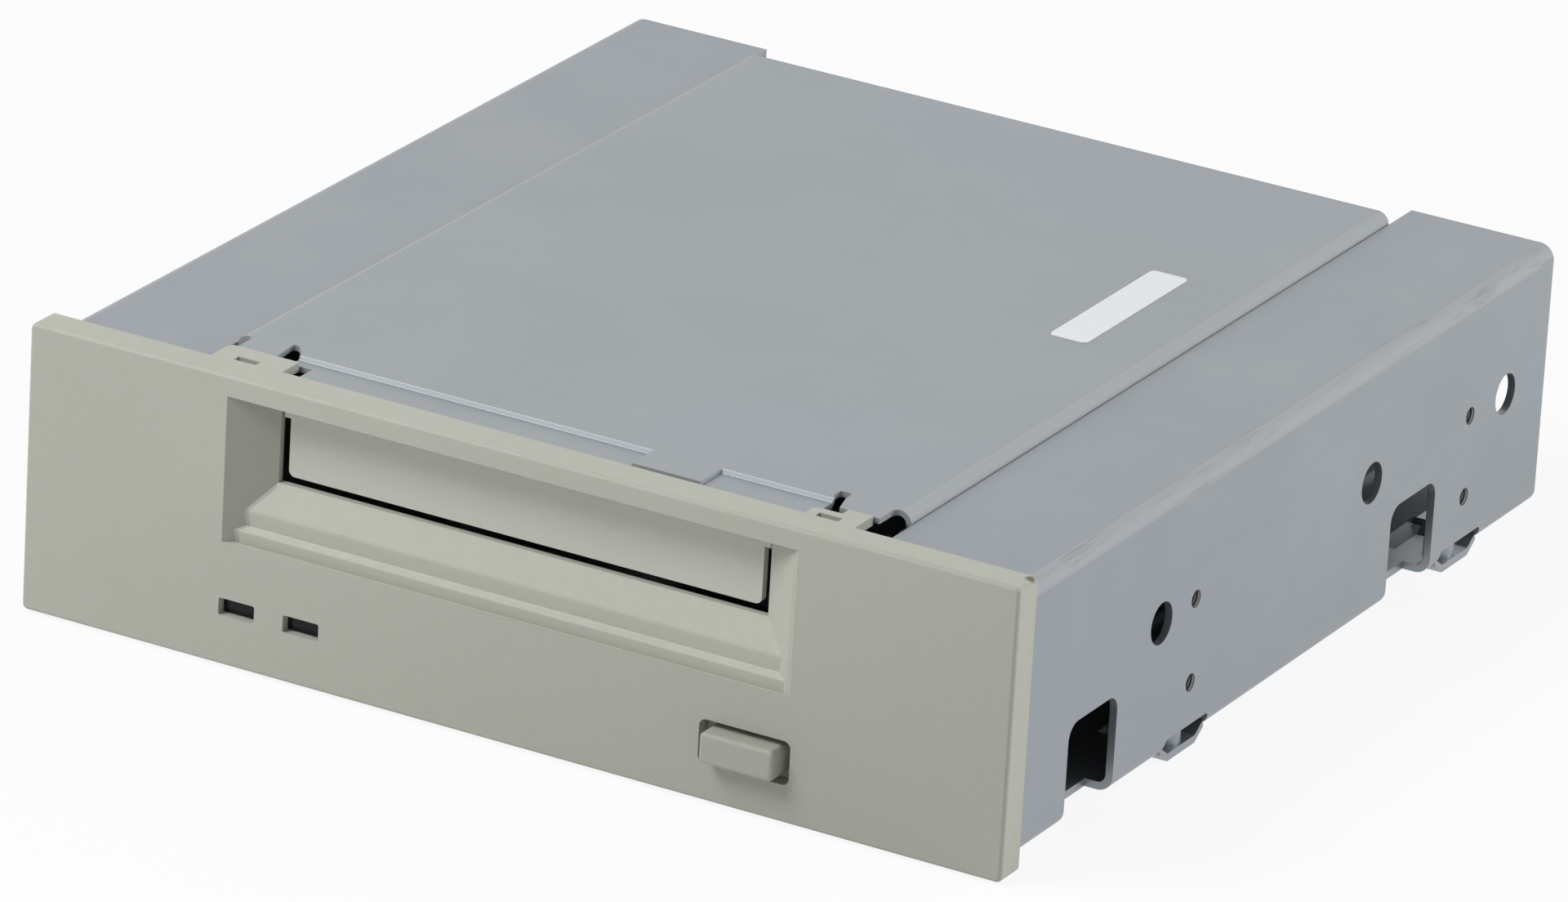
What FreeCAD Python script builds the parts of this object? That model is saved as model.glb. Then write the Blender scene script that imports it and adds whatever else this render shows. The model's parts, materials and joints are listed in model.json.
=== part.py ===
import FreeCAD, Part
import Sketcher
import math
import os

# Data tape drive: a 3.5 inch helical-scan cartridge tape unit carried between two formed
# steel side brackets behind a 5.25 inch half-height bezel.
# Frame: X to the right seen from the front, Y from the bezel to the connectors, Z up.
# The origin is under the middle of the drive, on the plane of the bottom mounting pads.

SIZES = {
    # front bezel moulding
    "bezel_overhang": 1.1, "bezel_height": 40.7, "bezel_thick": 4.83, "bezel_lift": 0.45,
    "bezel_corner": 0.8, "bezel_edge": 0.5, "bezel_wall": 2.2, "bezel_lip": 0.6,
    # cassette recess in the bezel: opening at the front face, slot at its back
    "recess_left": 43.5, "recess_right": 42.2, "recess_low": 17.8, "recess_top": 38.3,
    "slot_left": 37.5, "slot_right": 36.3, "slot_low": 26.4, "slot_top": 39.6,
    "slot_back": 1.0, "ramp_nose": 3.3, "ramp_nose_z": 22.4, "step_one_z": 20.25,
    "step_undercut": 0.17, "step_two": 4.0, "step_two_z": 19.6,
    # tongues of the bezel that lie over the front corners of the cover
    "tongue_thick": 1.3, "tongue_reach": 4.9, "tongue_left_out": 49.2, "tongue_left_in": 38.6,
    "tongue_right_in": 39.9, "tongue_right_out": 47.5, "tongue_step_x": 43.9,
    "tongue_step_y": 3.2, "tongue_bevel": 0.9, "catch_width": 3.4, "catch_depth": 1.25,
    "catch_front": 0.55, "catch_left": 46.05, "catch_right": 41.35,
    # indicator windows and lenses
    "window_width": 5.5, "window_height": 2.45, "window_low": 7.45, "window_one": 40.85,
    "window_two": 30.95, "lens_recess": 1.3, "lens_gap": 0.1,
    # eject button
    "button_centre": 36.0, "button_z": 8.75, "button_width": 10.9, "button_height": 4.3,
    "button_proud": 2.3, "button_edge": 0.7, "button_gap_x": 1.3, "button_gap_z": 0.9,
    "button_flange": 1.0, "button_collar": 1.2, "button_slide_gap": 0.2, "button_travel": 1.0,
    "button_rest_gap": 0.1, "plunger_radius": 1.3, "plunger_rise": 0.6, "switch_front": 0.8,
    "switch_size": 6.0,
    # side brackets, formed from sheet
    "bracket_half": 73.0, "bracket_low": 1.5, "bracket_top": 39.5, "bracket_length": 149.2,
    "bracket_start": 0.2, "bracket_sheet": 1.1, "bracket_bend": 2.2, "flange_edge": 51.06,
    "inner_wall_top": 28.0,
    # standard bolt holes of a half-height drive, from the rear of the bezel and the pad plane
    "hole_front": 47.4, "hole_pitch": 79.25, "side_hole_low": 10.0, "side_hole_rise": 11.84,
    "bottom_inset": 3.15, "tap_radius": 1.25, "tap_collar": 2.1, "tap_collar_rise": 1.0,
    # access holes and windows of the side brackets
    "access_radius": 2.95, "access_z": 21.6, "access_one": 37.9, "access_two": 97.5,
    "access_three": 137.3, "side_window_front": 13.7, "side_window_length": 13.2,
    "side_window_pitch": 90.6, "side_window_top": 15.6, "side_window_in": 4.0,
    "side_window_corner": 2.4,
    "pad_front": 41.3, "pad_length": 12.0, "pad_pitch": 79.3, "pad_slot_top": 3.8,
    "pad_reach": 10.0, "pad_slope": 1.6, "pad_run": 2.2, "pad_inset": 0.6,
    "pad_slot_corner": 0.8,
    # cover of the tape unit
    "cover_half": 50.8, "cover_top": 40.95, "cover_sheet": 0.8, "cover_roll": 1.8,
    "cover_front": 1.9, "cover_rear": 143.0, "cover_low": 5.0, "strip_drop": 0.5,
    "strip_back": 7.0, "strip_slope": 0.4, "strip_front": 0.8, "strip_left_in": 13.5,
    "strip_left_out": 36.8, "strip_right_in": 23.8, "strip_right_out": 40.3,
    "notch_gap": 0.25, "relief_back": 10.2, "relief_radius": 0.9,
    "relief_left_in": 40.0, "relief_left_out": 42.8, "relief_right_in": 39.7,
    "relief_right_out": 41.5,
    "corner_hole_in": 48.3, "corner_hole_back": 9.2,
    # base pan of the tape unit
    "pan_sheet": 1.0, "pan_front": 3.0, "pan_rear": 142.0, "pan_top": 38.0, "pan_low": 1.5,
    "rear_lip": 5.0, "pan_front_wall": 15.0, "roll_clear": 9.2, "vent_reach": 28.0,
    "vent_width": 3.0, "vent_front": 60.0, "vent_length": 26.0,
    # circuit board and connectors
    "board_low": 5.0, "board_thick": 1.6, "board_half": 47.5, "board_front": 8.0,
    "board_rear": 140.0, "boss_radius": 3.0, "boss_inset_x": 4.0, "boss_inset_y": 24.0,
    "screw_radius": 1.4, "screw_head": 2.6, "screw_head_thick": 1.6,
    "bus_width": 67.0, "bus_height": 9.0, "bus_depth": 10.5, "bus_wall": 1.2,
    "key_width": 6.0, "board_top_screw": 4.4, "post_thread": 5.0,
    "bus_centre": -12.0, "bus_pins": 25, "bus_pitch": 2.54, "pin_size": 0.64,
    "power_width": 21.4, "power_height": 11.0, "power_depth": 12.0, "power_centre": 35.2,
    "power_wall": 1.5, "power_pitch": 5.08, "power_pin_radius": 1.0, "plug_face": 143.2,
    # deck that carries the mechanism
    "deck_low": 14.0, "deck_thick": 1.2, "deck_front": 6.0, "deck_rear": 112.0,
    "ear_reach": 5.4, "ear_length": 9.0, "post_beside": 2.9,
    "post_radius": 2.2, "post_front": 11.0, "post_rear": 106.0,
    # cassette holder, its guide plates and cam plates
    "cassette_width": 73.0, "cassette_height": 10.5,
    "holder_gap": 0.3, "holder_sheet": 0.8, "holder_low": 25.6, "holder_front": 3.2,
    "holder_length": 54.0, "holder_lip": 10.0, "holder_roof_front": 12.4, "holder_drop": 6.5,
    "pin_radius": 1.0, "pin_gap": 0.06, "pin_end": 0.8, "pin_z": 31.0,
    "pin_front": 22.0, "pin_pitch": 26.0,
    "foot_reach": 2.2, "roof_window_half": 22.0, "roof_window_front": 19.0,
    "roof_window_back": 8.0,
    "guide_plate_gap": 2.5, "guide_plate_sheet": 1.0, "guide_plate_front": 5.5,
    "guide_plate_length": 50.0, "guide_plate_top": 36.5, "stud_z": 19.0, "stud_front": 26.0,
    "stud_pitch": 24.0, "cam_plate_gap": 0.4, "cam_travel": 14.0, "cam_plate_length": 48.0,
    "cam_plate_low": 17.1, "cam_plate_top": 35.0,
    # yoke below the deck and the gears that drive it
    "yoke_low": 11.4, "yoke_sheet": 1.0, "yoke_front": 45.5, "yoke_width": 5.0,
    "gear_x": -26.4, "gear_y": 84.0, "rack_module": 0.6, "rack_pinion_teeth": 20,
    "drive_module": 0.5, "drive_gear_teeth": 48, "drive_pinion_teeth": 12,
    "gear_backlash": 0.12,
    "pressure_angle": 25.0, "addendum": 0.8, "dedendum": 1.1, "gear_thick": 1.5,
    "gear_low": 8.8, "axle_radius": 1.0,
    "axle_gap": 0.04, "rack_back": 90.0, "rack_body": 3.6,
    "motor_radius": 8.0, "motor_height": 13.0, "motor_shaft": 0.75,
    # tape transport on the deck
    "reel_half": 15.0, "reel_y": 34.0, "reel_radius": 9.5, "reel_disc": 1.6,
    "reel_hub": 3.6, "reel_top": 24.0, "reel_lift": 0.6, "reel_motor_radius": 10.5,
    "reel_motor_height": 4.6,
    "drum_y": 84.0, "drum_radius": 15.0, "drum_tilt": 5.0, "drum_low": 16.8,
    "drum_stem": 8.6, "drum_hole_gap": 1.2, "drum_stem_depth": 5.4, "drum_socket": 4.0,
    "drum_lean": 0.6, "saddle_inset": 1.0, "head_depth": 1.6, "head_width": 3.0,
    "drum_split": 22.6, "drum_gap": 0.3, "drum_top": 30.6, "drum_bore": 3.0,
    "capstan_x": 29.0, "capstan_y": 77.0, "capstan_radius": 1.25, "capstan_top": 30.0,
    "capstan_bearing_top": 16.6, "tape_width": 3.81, "keel_washer": 0.8,
    "post_one_x": 22.0, "post_one_y": 64.5, "post_two_x": 32.0, "post_two_y": 61.6,
    "capstan_motor_radius": 7.4, "capstan_motor_height": 4.4, "capstan_bearing": 3.4,
    "pinch_pivot_x": 37.5, "pinch_pivot_y": 76.0, "pinch_open": 25.0, "pinch_radius": 3.5,
    "pinch_touch": 0.1, "pinch_low": 19.2, "pinch_high": 28.6, "arm_low": 17.0,
    "arm_thick": 1.2, "arm_radius": 3.0,
    "carriage_start_x": 11.0, "carriage_start_y": 62.5, "carriage_end_x": 18.6,
    "carriage_end_y": 79.0, "carriage_radius": 3.4, "carriage_thick": 2.4,
    "track_width": 3.0, "track_gap": 0.1, "post_top": 30.0, "guide_post_radius": 1.5,
    "guide_flange": 2.6,
    # front circuit board behind the bezel
    "front_board_y": 3.4, "front_board_thick": 1.0, "front_board_low": 4.2,
    "front_board_high": 14.2, "front_board_half": 46.0, "led_radius": 1.1,
    "led_height": 1.0, "front_post_z": 9.2, "front_post_radius": 1.5,
    "front_post_beside": 13.0, "front_screw_radius": 0.8, "front_screw_length": 3.0,
    "thread_gap": 0.04, "hole_gap": 0.3, "screw_tail": 0.6,
    # hooks that hold the bezel in the side brackets
    "hook_gap": 0.1, "hook_thick": 1.5, "hook_reach": 6.0, "hook_width": 12.0,
    # cassette door and its hinge
    "door_face": 0.6, "door_thick": 1.2, "door_side_gap": 1.3, "door_low_gap": 1.15,
    "door_band_low": 35.6, "door_band_gap": 0.35, "hinge_y": 0.2, "hinge_z": 38.4,
    "hinge_radius": 0.95, "hinge_pin": 0.6, "hinge_gap": 0.05, "hinge_boss": 2.2,
    "door_corner": 0.9, "hinge_boss_reach": 2.4, "pin_seat_gap": 0.02,
    "door_spring_length": 2.6, "spring_wire": 0.17,
}

FRONT, BACK = -1, 1


class Size:
    """A length together with the sheet expression that gives it."""

    def __init__(self, value, text):
        self.value = value
        self.text = text

    def __add__(self, other):
        return Size(self.value + number(other), f"({self.text} + {text(other)})")

    def __sub__(self, other):
        return Size(self.value - number(other), f"({self.text} - {text(other)})")

    def __mul__(self, other):
        return Size(self.value * number(other), f"({self.text} * {text(other)})")

    def __truediv__(self, other):
        return Size(self.value / number(other), f"({self.text} / {text(other)})")

    def __radd__(self, other):
        return as_size(other) + self

    def __rsub__(self, other):
        return as_size(other) - self

    def __rmul__(self, other):
        return as_size(other) * self

    def __neg__(self):
        return as_size(0.0) - self


def number(size):
    return size.value if isinstance(size, Size) else float(size)


def text(size):
    return size.text if isinstance(size, Size) else f"({float(size):.6f})"


def as_size(value):
    return value if isinstance(value, Size) else Size(float(value), text(value))


def make_sheet(document):
    """The spreadsheet with one row for each driving size."""
    sheet = document.addObject("Spreadsheet::Sheet", "Sizes")
    for row, (name, value) in enumerate(SIZES.items(), start=1):
        sheet.set(f"A{row}", name)
        sheet.set(f"B{row}", str(value))
        sheet.setAlias(f"B{row}", name)
    document.recompute()
    return sheet


class Named:
    """Gives each sheet cell by its name as a Size."""

    def __getattr__(self, name):
        return Size(float(SIZES[name]), f"Sizes.{name}")


document = FreeCAD.newDocument("DataTapeDrive")
sheet = make_sheet(document)
s = Named()
nodes = {}
places = {}

# The bezel's rear plane lies here, so that the drive is centred on the origin.
datum = (s.bezel_thick + s.button_proud - s.bracket_start - s.bracket_length) / 2


# ---- helpers: binding, sketches and features ------------------------------------------

def bind(thing, path, size):
    thing.setExpression(path, text(size))


def move(thing, x=0, y=0, z=0):
    places[thing.Name] = (x, y, z)
    for axis, size in (("x", x), ("y", y), ("z", z)):
        bind(thing, f".Placement.Base.{axis}", size)


def node(label, thing, across=0):
    """Registers a finished sub-part and puts it in the frame of the whole drive."""
    x, y, z = places.get(thing.Name, (0, 0, 0))
    move(thing, as_size(across) + x, datum + y, z)
    thing.Label = label
    nodes[label] = thing
    return thing


def new_body(name):
    return document.addObject("PartDesign::Body", name + "_body")


def plane_of(body, plane):
    return next(f for f in body.Origin.OriginFeatures if f.Role == plane + "_Plane")


def sketch_at(body, plane, height=0):
    """A sketch parallel to a main plane, at a height along the axis square to it."""
    sketch = body.newObject("Sketcher::SketchObject", "profile")
    sketch.AttachmentSupport = (plane_of(body, plane), [""])
    sketch.MapMode = "FlatFace"
    side = -1 if plane == "XZ" else 1
    bind(sketch, ".AttachmentOffset.Base.z", as_size(height) * side)
    return sketch


def fix(sketch, item, end, x, y):
    """Ties one point of a sketch to its place from the sketch's origin."""
    for kind, size in (("DistanceX", x), ("DistanceY", y)):
        index = sketch.addConstraint(Sketcher.Constraint(kind, -1, 1, item, end, number(size)))
        if isinstance(size, Size):
            sketch.setExpression(f"Constraints[{index}]", size.text)


def circle(sketch, x, y, radius):
    centre = FreeCAD.Vector(number(x), number(y), 0)
    item = sketch.addGeometry(Part.Circle(centre, FreeCAD.Vector(0, 0, 1), number(radius)))
    fix(sketch, item, 3, x, y)
    index = sketch.addConstraint(Sketcher.Constraint("Radius", item, number(radius)))
    if isinstance(radius, Size):
        sketch.setExpression(f"Constraints[{index}]", radius.text)


def outline(sketch, corners):
    """A closed outline of straight runs; a corner with a third value is rounded by it."""
    count = len(corners)
    spots = [FreeCAD.Vector(number(c[0]), number(c[1]), 0) for c in corners]
    radii = [c[2] if len(c) > 2 else None for c in corners]
    starts, ends = [], []
    for i, spot in enumerate(spots):
        before = (spots[i - 1] - spot).normalize()
        after = (spots[(i + 1) % count] - spot).normalize()
        if radii[i] is None:
            starts.append(spot)
            ends.append(spot)
            continue
        half = before.getAngle(after) / 2
        cut = number(radii[i]) / math.tan(half)
        ends.append(spot + before * cut)
        starts.append(spot + after * cut)
    lines = [sketch.addGeometry(Part.LineSegment(starts[i], ends[(i + 1) % count]))
             for i in range(count)]
    for i, corner in enumerate(corners):
        came, left = lines[i - 1], lines[i]
        if radii[i] is None:
            sketch.addConstraint(Sketcher.Constraint("Coincident", came, 2, left, 1))
            fix(sketch, left, 1, corner[0], corner[1])
            continue
        mark = sketch.addGeometry(Part.Point(spots[i]), True)
        fix(sketch, mark, 1, corner[0], corner[1])
        sketch.addConstraint(Sketcher.Constraint("PointOnObject", mark, 1, came))
        sketch.addConstraint(Sketcher.Constraint("PointOnObject", mark, 1, left))
        bend = sketch.addGeometry(corner_arc(spots[i], ends[i], starts[i], number(radii[i])))
        turn = (spots[i] - ends[i]).cross(starts[i] - spots[i]).z
        first, last = (1, 2) if turn > 0 else (2, 1)
        sketch.addConstraint(Sketcher.Constraint("Tangent", came, 2, bend, first))
        sketch.addConstraint(Sketcher.Constraint("Tangent", bend, last, left, 1))
        index = sketch.addConstraint(Sketcher.Constraint("Radius", bend, number(radii[i])))
        if isinstance(radii[i], Size):
            sketch.setExpression(f"Constraints[{index}]", radii[i].text)


def corner_arc(spot, start, finish, radius):
    """The arc that rounds a corner between two straight runs."""
    inward = ((start + finish) * 0.5 - spot).normalize()
    reach = math.hypot(radius, (start - spot).Length)
    centre = spot + inward * reach
    angles = [math.atan2(p.y - centre.y, p.x - centre.x) for p in (start, finish)]
    if (spot - start).cross(finish - spot).z < 0:
        angles.reverse()
    ring = Part.Circle(centre, FreeCAD.Vector(0, 0, 1), radius)
    return Part.ArcOfCircle(ring, angles[0], angles[1])


def mirrored(corners, side):
    """The same corners on the right (1) or left (-1) side of the middle plane."""
    return [(corner[0] * side,) + corner[1:] for corner in corners]


def rectangle(sketch, x0, y0, x1, y1, radius=None):
    corners = [(x0, y0), (x1, y0), (x1, y1), (x0, y1)]
    outline(sketch, [c if radius is None else c + (radius,) for c in corners])


def pad(body, sketch, length, towards=BACK):
    feature = body.newObject("PartDesign::Pad", "pad")
    return extrude(feature, body, sketch, length, towards)


def pocket(body, sketch, length, towards=BACK):
    before = body.Tip.Shape.Volume
    feature = body.newObject("PartDesign::Pocket", "pocket")
    extrude(feature, body, sketch, length, -towards)
    if before - feature.Shape.Volume < 1e-4:
        raise RuntimeError(f"{body.Name}: {feature.Name} cuts nothing")
    return feature


def extrude(feature, body, sketch, length, towards):
    feature.Profile = (sketch, [""])
    backward = sketch.AttachmentSupport[0][0].Role == "XZ_Plane"
    feature.Reversed = (towards == FRONT) != backward
    if length is None:
        feature.Type = "ThroughAll"
    else:
        bind(feature, "Length", length)
    body.Tip = feature
    document.recompute()
    return feature


def revolve(body, sketch):
    feature = body.newObject("PartDesign::Revolution", "turn")
    feature.Profile = (sketch, [""])
    feature.ReferenceAxis = (sketch, ["V_Axis"])
    feature.Angle = 360
    body.Tip = feature
    document.recompute()
    return feature


def round_edges(body, radius, chosen):
    """Rounds the edges of the tip that a test picks."""
    names = [f"Edge{i}" for i, edge in enumerate(body.Tip.Shape.Edges, start=1) if chosen(edge)]
    if not names:
        raise RuntimeError(f"{body.Name}: no edge to round")
    base = body.Tip
    feature = body.newObject("PartDesign::Fillet", "round")
    feature.Base = (base, names)
    bind(feature, "Radius", radius)
    body.Tip = feature
    document.recompute()
    return feature


def on_plane(edge, axis, place):
    box = edge.BoundBox
    low = (box.XMin, box.YMin, box.ZMin)[axis]
    high = (box.XMax, box.YMax, box.ZMax)[axis]
    return abs(low - number(place)) < 1e-4 and abs(high - number(place)) < 1e-4


# ---- helpers: primitives and groups ---------------------------------------------------

def block(x0, y0, z0, x1, y1, z1):
    """A box between two corners."""
    solid = document.addObject("Part::Box", "block")
    for side, low, high in (("Length", x0, x1), ("Width", y0, y1), ("Height", z0, z1)):
        bind(solid, side, as_size(high) - low)
    move(solid, x0, y0, z0)
    return solid


def rod(x, y, z, radius, length, axis="Z"):
    """A cylinder from a point along a main axis."""
    solid = document.addObject("Part::Cylinder", "rod")
    bind(solid, "Radius", radius)
    bind(solid, "Height", length)
    turns = {"Z": (0, 0, 1, 0), "X": (0, 1, 0, 90), "Y": (1, 0, 0, -90)}[axis]
    solid.Placement.Rotation = FreeCAD.Rotation(FreeCAD.Vector(*turns[:3]), turns[3])
    move(solid, x, y, z)
    return solid


def fuse(*parts):
    if len(parts) == 1:
        return parts[0]
    joined = document.addObject("Part::MultiFuse", "fuse")
    joined.Shapes = list(parts)
    joined.Refine = True
    return joined


def group(*parts):
    """Separate like solids that share one node."""
    bunch = document.addObject("Part::Compound", "group")
    bunch.Links = list(parts)
    return bunch


def turned(profile, x=0, y=0, z=0):
    """A body turned about an upright axis from (radius, height) corners."""
    body = new_body("turned")
    sketch = sketch_at(body, "XZ")
    outline(sketch, profile)
    revolve(body, sketch)
    move(body, x, y, z)
    return body


def screw(x, y, z, axis, length, radius=None, head=None, thick=None):
    """A pan-head screw: its head stands at the point and its shank runs along the axis."""
    radius = radius or s.screw_radius
    head = head or s.screw_head
    thick = thick or s.screw_head_thick
    sign = -1 if axis.startswith("-") else 1
    letter = axis[-1]
    back = thick * -sign
    start = {"X": (x + back, y, z), "Y": (x, y + back, z), "Z": (x, y, z + back)}[letter]
    parts = []
    for place, r, run in ((start, head, thick), ((x, y, z), radius, length)):
        if sign < 0:
            ends = {"X": (place[0] - run, y, z), "Y": (x, place[1] - run, z),
                    "Z": (x, y, place[2] - run)}
            place = ends[letter]
        parts.append(rod(*place, r, run, letter))
    return fuse(*parts)


# ---- places that several sub-parts share ----------------------------------------------

bezel_top = s.bezel_lift + s.bezel_height
wall_back = s.bezel_wall - s.bezel_thick
deck_top = s.deck_low + s.deck_thick
board_top = s.board_low + s.board_thick
pan_half = s.cover_half - s.cover_sheet
pan_floor = s.pan_low + s.pan_sheet
slot_mid = (s.slot_right - s.slot_left) / 2
access_holes = [s.access_one, s.access_two, s.access_three]
button_low = s.button_z - s.button_height / 2
button_high = s.button_z + s.button_height / 2
flange_half_x = s.button_width / 2 + s.button_gap_x + s.button_flange
flange_half_z = s.button_height / 2 + s.button_gap_z + s.button_flange
bezel_half = s.bracket_half + s.bezel_overhang
holder_half = s.cassette_width / 2 + s.holder_gap + s.holder_sheet
guide_plate_in = holder_half + s.guide_plate_gap
deck_half = guide_plate_in + s.guide_plate_sheet
cam_plate_in = deck_half + s.cam_plate_gap
cam_plate_out = cam_plate_in + s.guide_plate_sheet
pin_reach = cam_plate_out + s.pin_end


def mechanism(label, thing):
    """Registers a sub-part of the mechanism, which is centred on the cassette slot."""
    return node(label, thing, slot_mid)


# ---- bezel ----------------------------------------------------------------------------

def make_bezel():
    body = new_body("bezel")
    half = bezel_half
    face = -s.bezel_thick
    plate = sketch_at(body, "XZ", face)
    rectangle(plate, -half, s.bezel_lift, half, bezel_top, s.bezel_corner)
    pad(body, plate, s.bezel_thick)
    round_edges(body, s.bezel_edge, lambda edge: on_plane(edge, 1, face))
    hollow_bezel(body, half)
    cut_recess(body, face)
    add_tongues(body)
    front_openings(body, face)
    add_bezel_mounts(body)
    return node("bezel", body)


def hollow_bezel(body, half):
    """The moulding is open behind its face beside and below the recess."""
    low, high = s.bezel_lift + s.bezel_wall, bezel_top - s.bezel_wall
    rib = s.bezel_wall / 2
    left = -s.recess_left - s.bezel_wall
    right = s.recess_right + s.bezel_wall
    mid_left, mid_right = (left - half) / 2, (right + half) / 2
    cells = [(s.bezel_wall - half, low, mid_left - rib, high),
             (mid_left + rib, low, left, high),
             (right, low, mid_right - rib, high),
             (mid_right + rib, low, half - s.bezel_wall, high),
             (left + s.bezel_wall, low, right - s.bezel_wall, s.recess_low - s.bezel_wall)]
    sketch = sketch_at(body, "XZ", 0)
    for cell in cells:
        rectangle(sketch, *cell)
    pocket(body, sketch, s.bezel_thick - s.bezel_wall, FRONT)


def cut_recess(body, face):
    """A finger recess with flared sides and a ramp of two steps below the cassette slot."""
    out = face - 1
    nose = -s.ramp_nose
    first_foot = nose + s.step_undercut
    second_foot = s.step_undercut - s.step_two
    profile = [(out, s.recess_top), (out, s.recess_low), (second_foot, s.recess_low),
               (-s.step_two, s.step_two_z, 0.3), (first_foot, s.step_one_z),
               (nose, s.ramp_nose_z, 1.0), (-s.slot_back, s.slot_low),
               (-s.slot_back, s.recess_top)]
    ramp = sketch_at(body, "YZ", -s.recess_left)
    outline(ramp, profile)
    pocket(body, ramp, s.recess_left + s.recess_right)
    for outer, inner in ((-s.recess_left, -s.slot_left), (s.recess_right, s.slot_right)):
        flare = sketch_at(body, "XY", s.recess_low)
        outline(flare, [(outer, face), (outer, -s.slot_back), (inner, -s.slot_back)])
        pad(body, flare, s.recess_top - s.recess_low)
    slot = sketch_at(body, "XZ", -s.slot_back)
    rectangle(slot, -s.slot_left, s.slot_low, s.slot_right, s.slot_top)
    pocket(body, slot, s.bezel_thick)


def add_tongues(body):
    """Two tongues reach back over the notched front corners of the cover."""
    reach, bevel = s.tongue_reach, s.tongue_bevel
    left = [(-s.tongue_left_out, -0.5), (-s.tongue_left_in, -0.5), (-s.tongue_left_in, reach),
            (bevel / 2 - s.tongue_left_out, reach), (-s.tongue_left_out, reach - bevel)]
    right = [(s.tongue_right_in, -0.5), (s.tongue_right_out, -0.5), (s.tongue_right_out, reach),
             (s.tongue_step_x, reach), (s.tongue_step_x, s.tongue_step_y),
             (s.tongue_right_in + bevel, s.tongue_step_y),
             (s.tongue_right_in, s.tongue_step_y - bevel / 2)]
    lip = [(-s.tongue_left_in - 1, -0.5), (s.tongue_right_in + 1, -0.5),
           (s.tongue_right_in + 1, s.bezel_lip), (-s.tongue_left_in - 1, s.bezel_lip)]
    for shape in (left, right, lip):
        sketch = sketch_at(body, "XY", bezel_top - s.tongue_thick)
        outline(sketch, shape)
        pad(body, sketch, s.tongue_thick)
    catches = sketch_at(body, "XY", bezel_top - s.tongue_thick)
    for start in (-s.catch_left, s.catch_right):
        rectangle(catches, start, s.catch_front, start + s.catch_width,
                  s.catch_front + s.catch_depth)
    pocket(body, catches, s.tongue_thick)


def front_openings(body, face):
    """Windows for the two indicators and the opening round the eject button."""
    windows = sketch_at(body, "XZ", face)
    for middle in (-s.window_one, -s.window_two):
        rectangle(windows, middle - s.window_width / 2, s.window_low,
                  middle + s.window_width / 2, s.window_low + s.window_height, 0.3)
    reach_x = s.button_width / 2 + s.button_gap_x
    rectangle(windows, s.button_centre - reach_x, button_low - s.button_gap_z,
              s.button_centre + reach_x, button_high + s.button_gap_z, 1.0)
    pocket(body, windows, s.bezel_thick)


def add_bezel_mounts(body):
    """Behind the face: the button's collar, posts for the front board, hinge bosses, hooks."""
    inner_x, inner_z = flange_half_x + s.button_slide_gap, flange_half_z + s.button_slide_gap
    outer_x, outer_z = inner_x + s.button_collar, inner_z + s.button_collar
    for reach_x, reach_z, tool in ((outer_x, outer_z, pad), (inner_x, inner_z, pocket)):
        collar = sketch_at(body, "XZ", wall_back)
        rectangle(collar, s.button_centre - reach_x, s.button_z - reach_z,
                  s.button_centre + reach_x, s.button_z + reach_z)
        tool(body, collar, -wall_back)
    posts = sketch_at(body, "XZ", wall_back)
    for x in front_post_places():
        circle(posts, x, s.front_post_z, s.front_post_radius)
    pad(body, posts, s.front_board_y - wall_back)
    taps = sketch_at(body, "XZ", s.front_board_y)
    for x in front_post_places():
        circle(taps, x, s.front_post_z, s.front_screw_radius + s.thread_gap)
    pocket(body, taps, s.front_screw_length, FRONT)
    for low in (-s.slot_left - s.hinge_boss, s.slot_right):
        boss = sketch_at(body, "XZ", -s.slot_back)
        rectangle(boss, low, s.hinge_z - s.hinge_boss / 2, low + s.hinge_boss,
                  s.hinge_z + s.hinge_boss / 2)
        pad(body, boss, s.slot_back + s.hinge_boss_reach)
        bore = sketch_at(body, "YZ", low)
        circle(bore, s.hinge_y, s.hinge_z, s.hinge_pin + s.pin_seat_gap)
        pocket(body, bore, s.hinge_boss)
    channel_wall = s.bracket_half - s.bracket_sheet
    for side in (-1, 1):
        hook = sketch_at(body, "XY", s.access_z - s.hook_width / 2)
        outer = channel_wall - s.hook_gap
        outline(hook, [(outer * side, wall_back), (outer * side, s.hook_reach),
                       ((outer - s.hook_thick) * side, s.hook_reach),
                       ((outer - s.hook_thick) * side, wall_back)])
        pad(body, hook, s.hook_width)


def front_post_places():
    return [-(s.window_one + s.window_two) / 2, s.button_centre - s.front_post_beside]


# ---- indicators, button and front board -------------------------------------------------

def make_lenses():
    for label, middle in (("indicator_lens_left", -s.window_one),
                          ("indicator_lens_right", -s.window_two)):
        reach = s.window_width / 2 - s.lens_gap
        body = new_body(label)
        sketch = sketch_at(body, "XZ", s.lens_recess - s.bezel_thick)
        rectangle(sketch, middle - reach, s.window_low + s.lens_gap, middle + reach,
                  s.window_low + s.window_height - s.lens_gap, 0.25)
        pad(body, sketch, s.front_board_y - s.led_height - s.lens_gap
            + s.bezel_thick - s.lens_recess)
        node(label, body)


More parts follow.
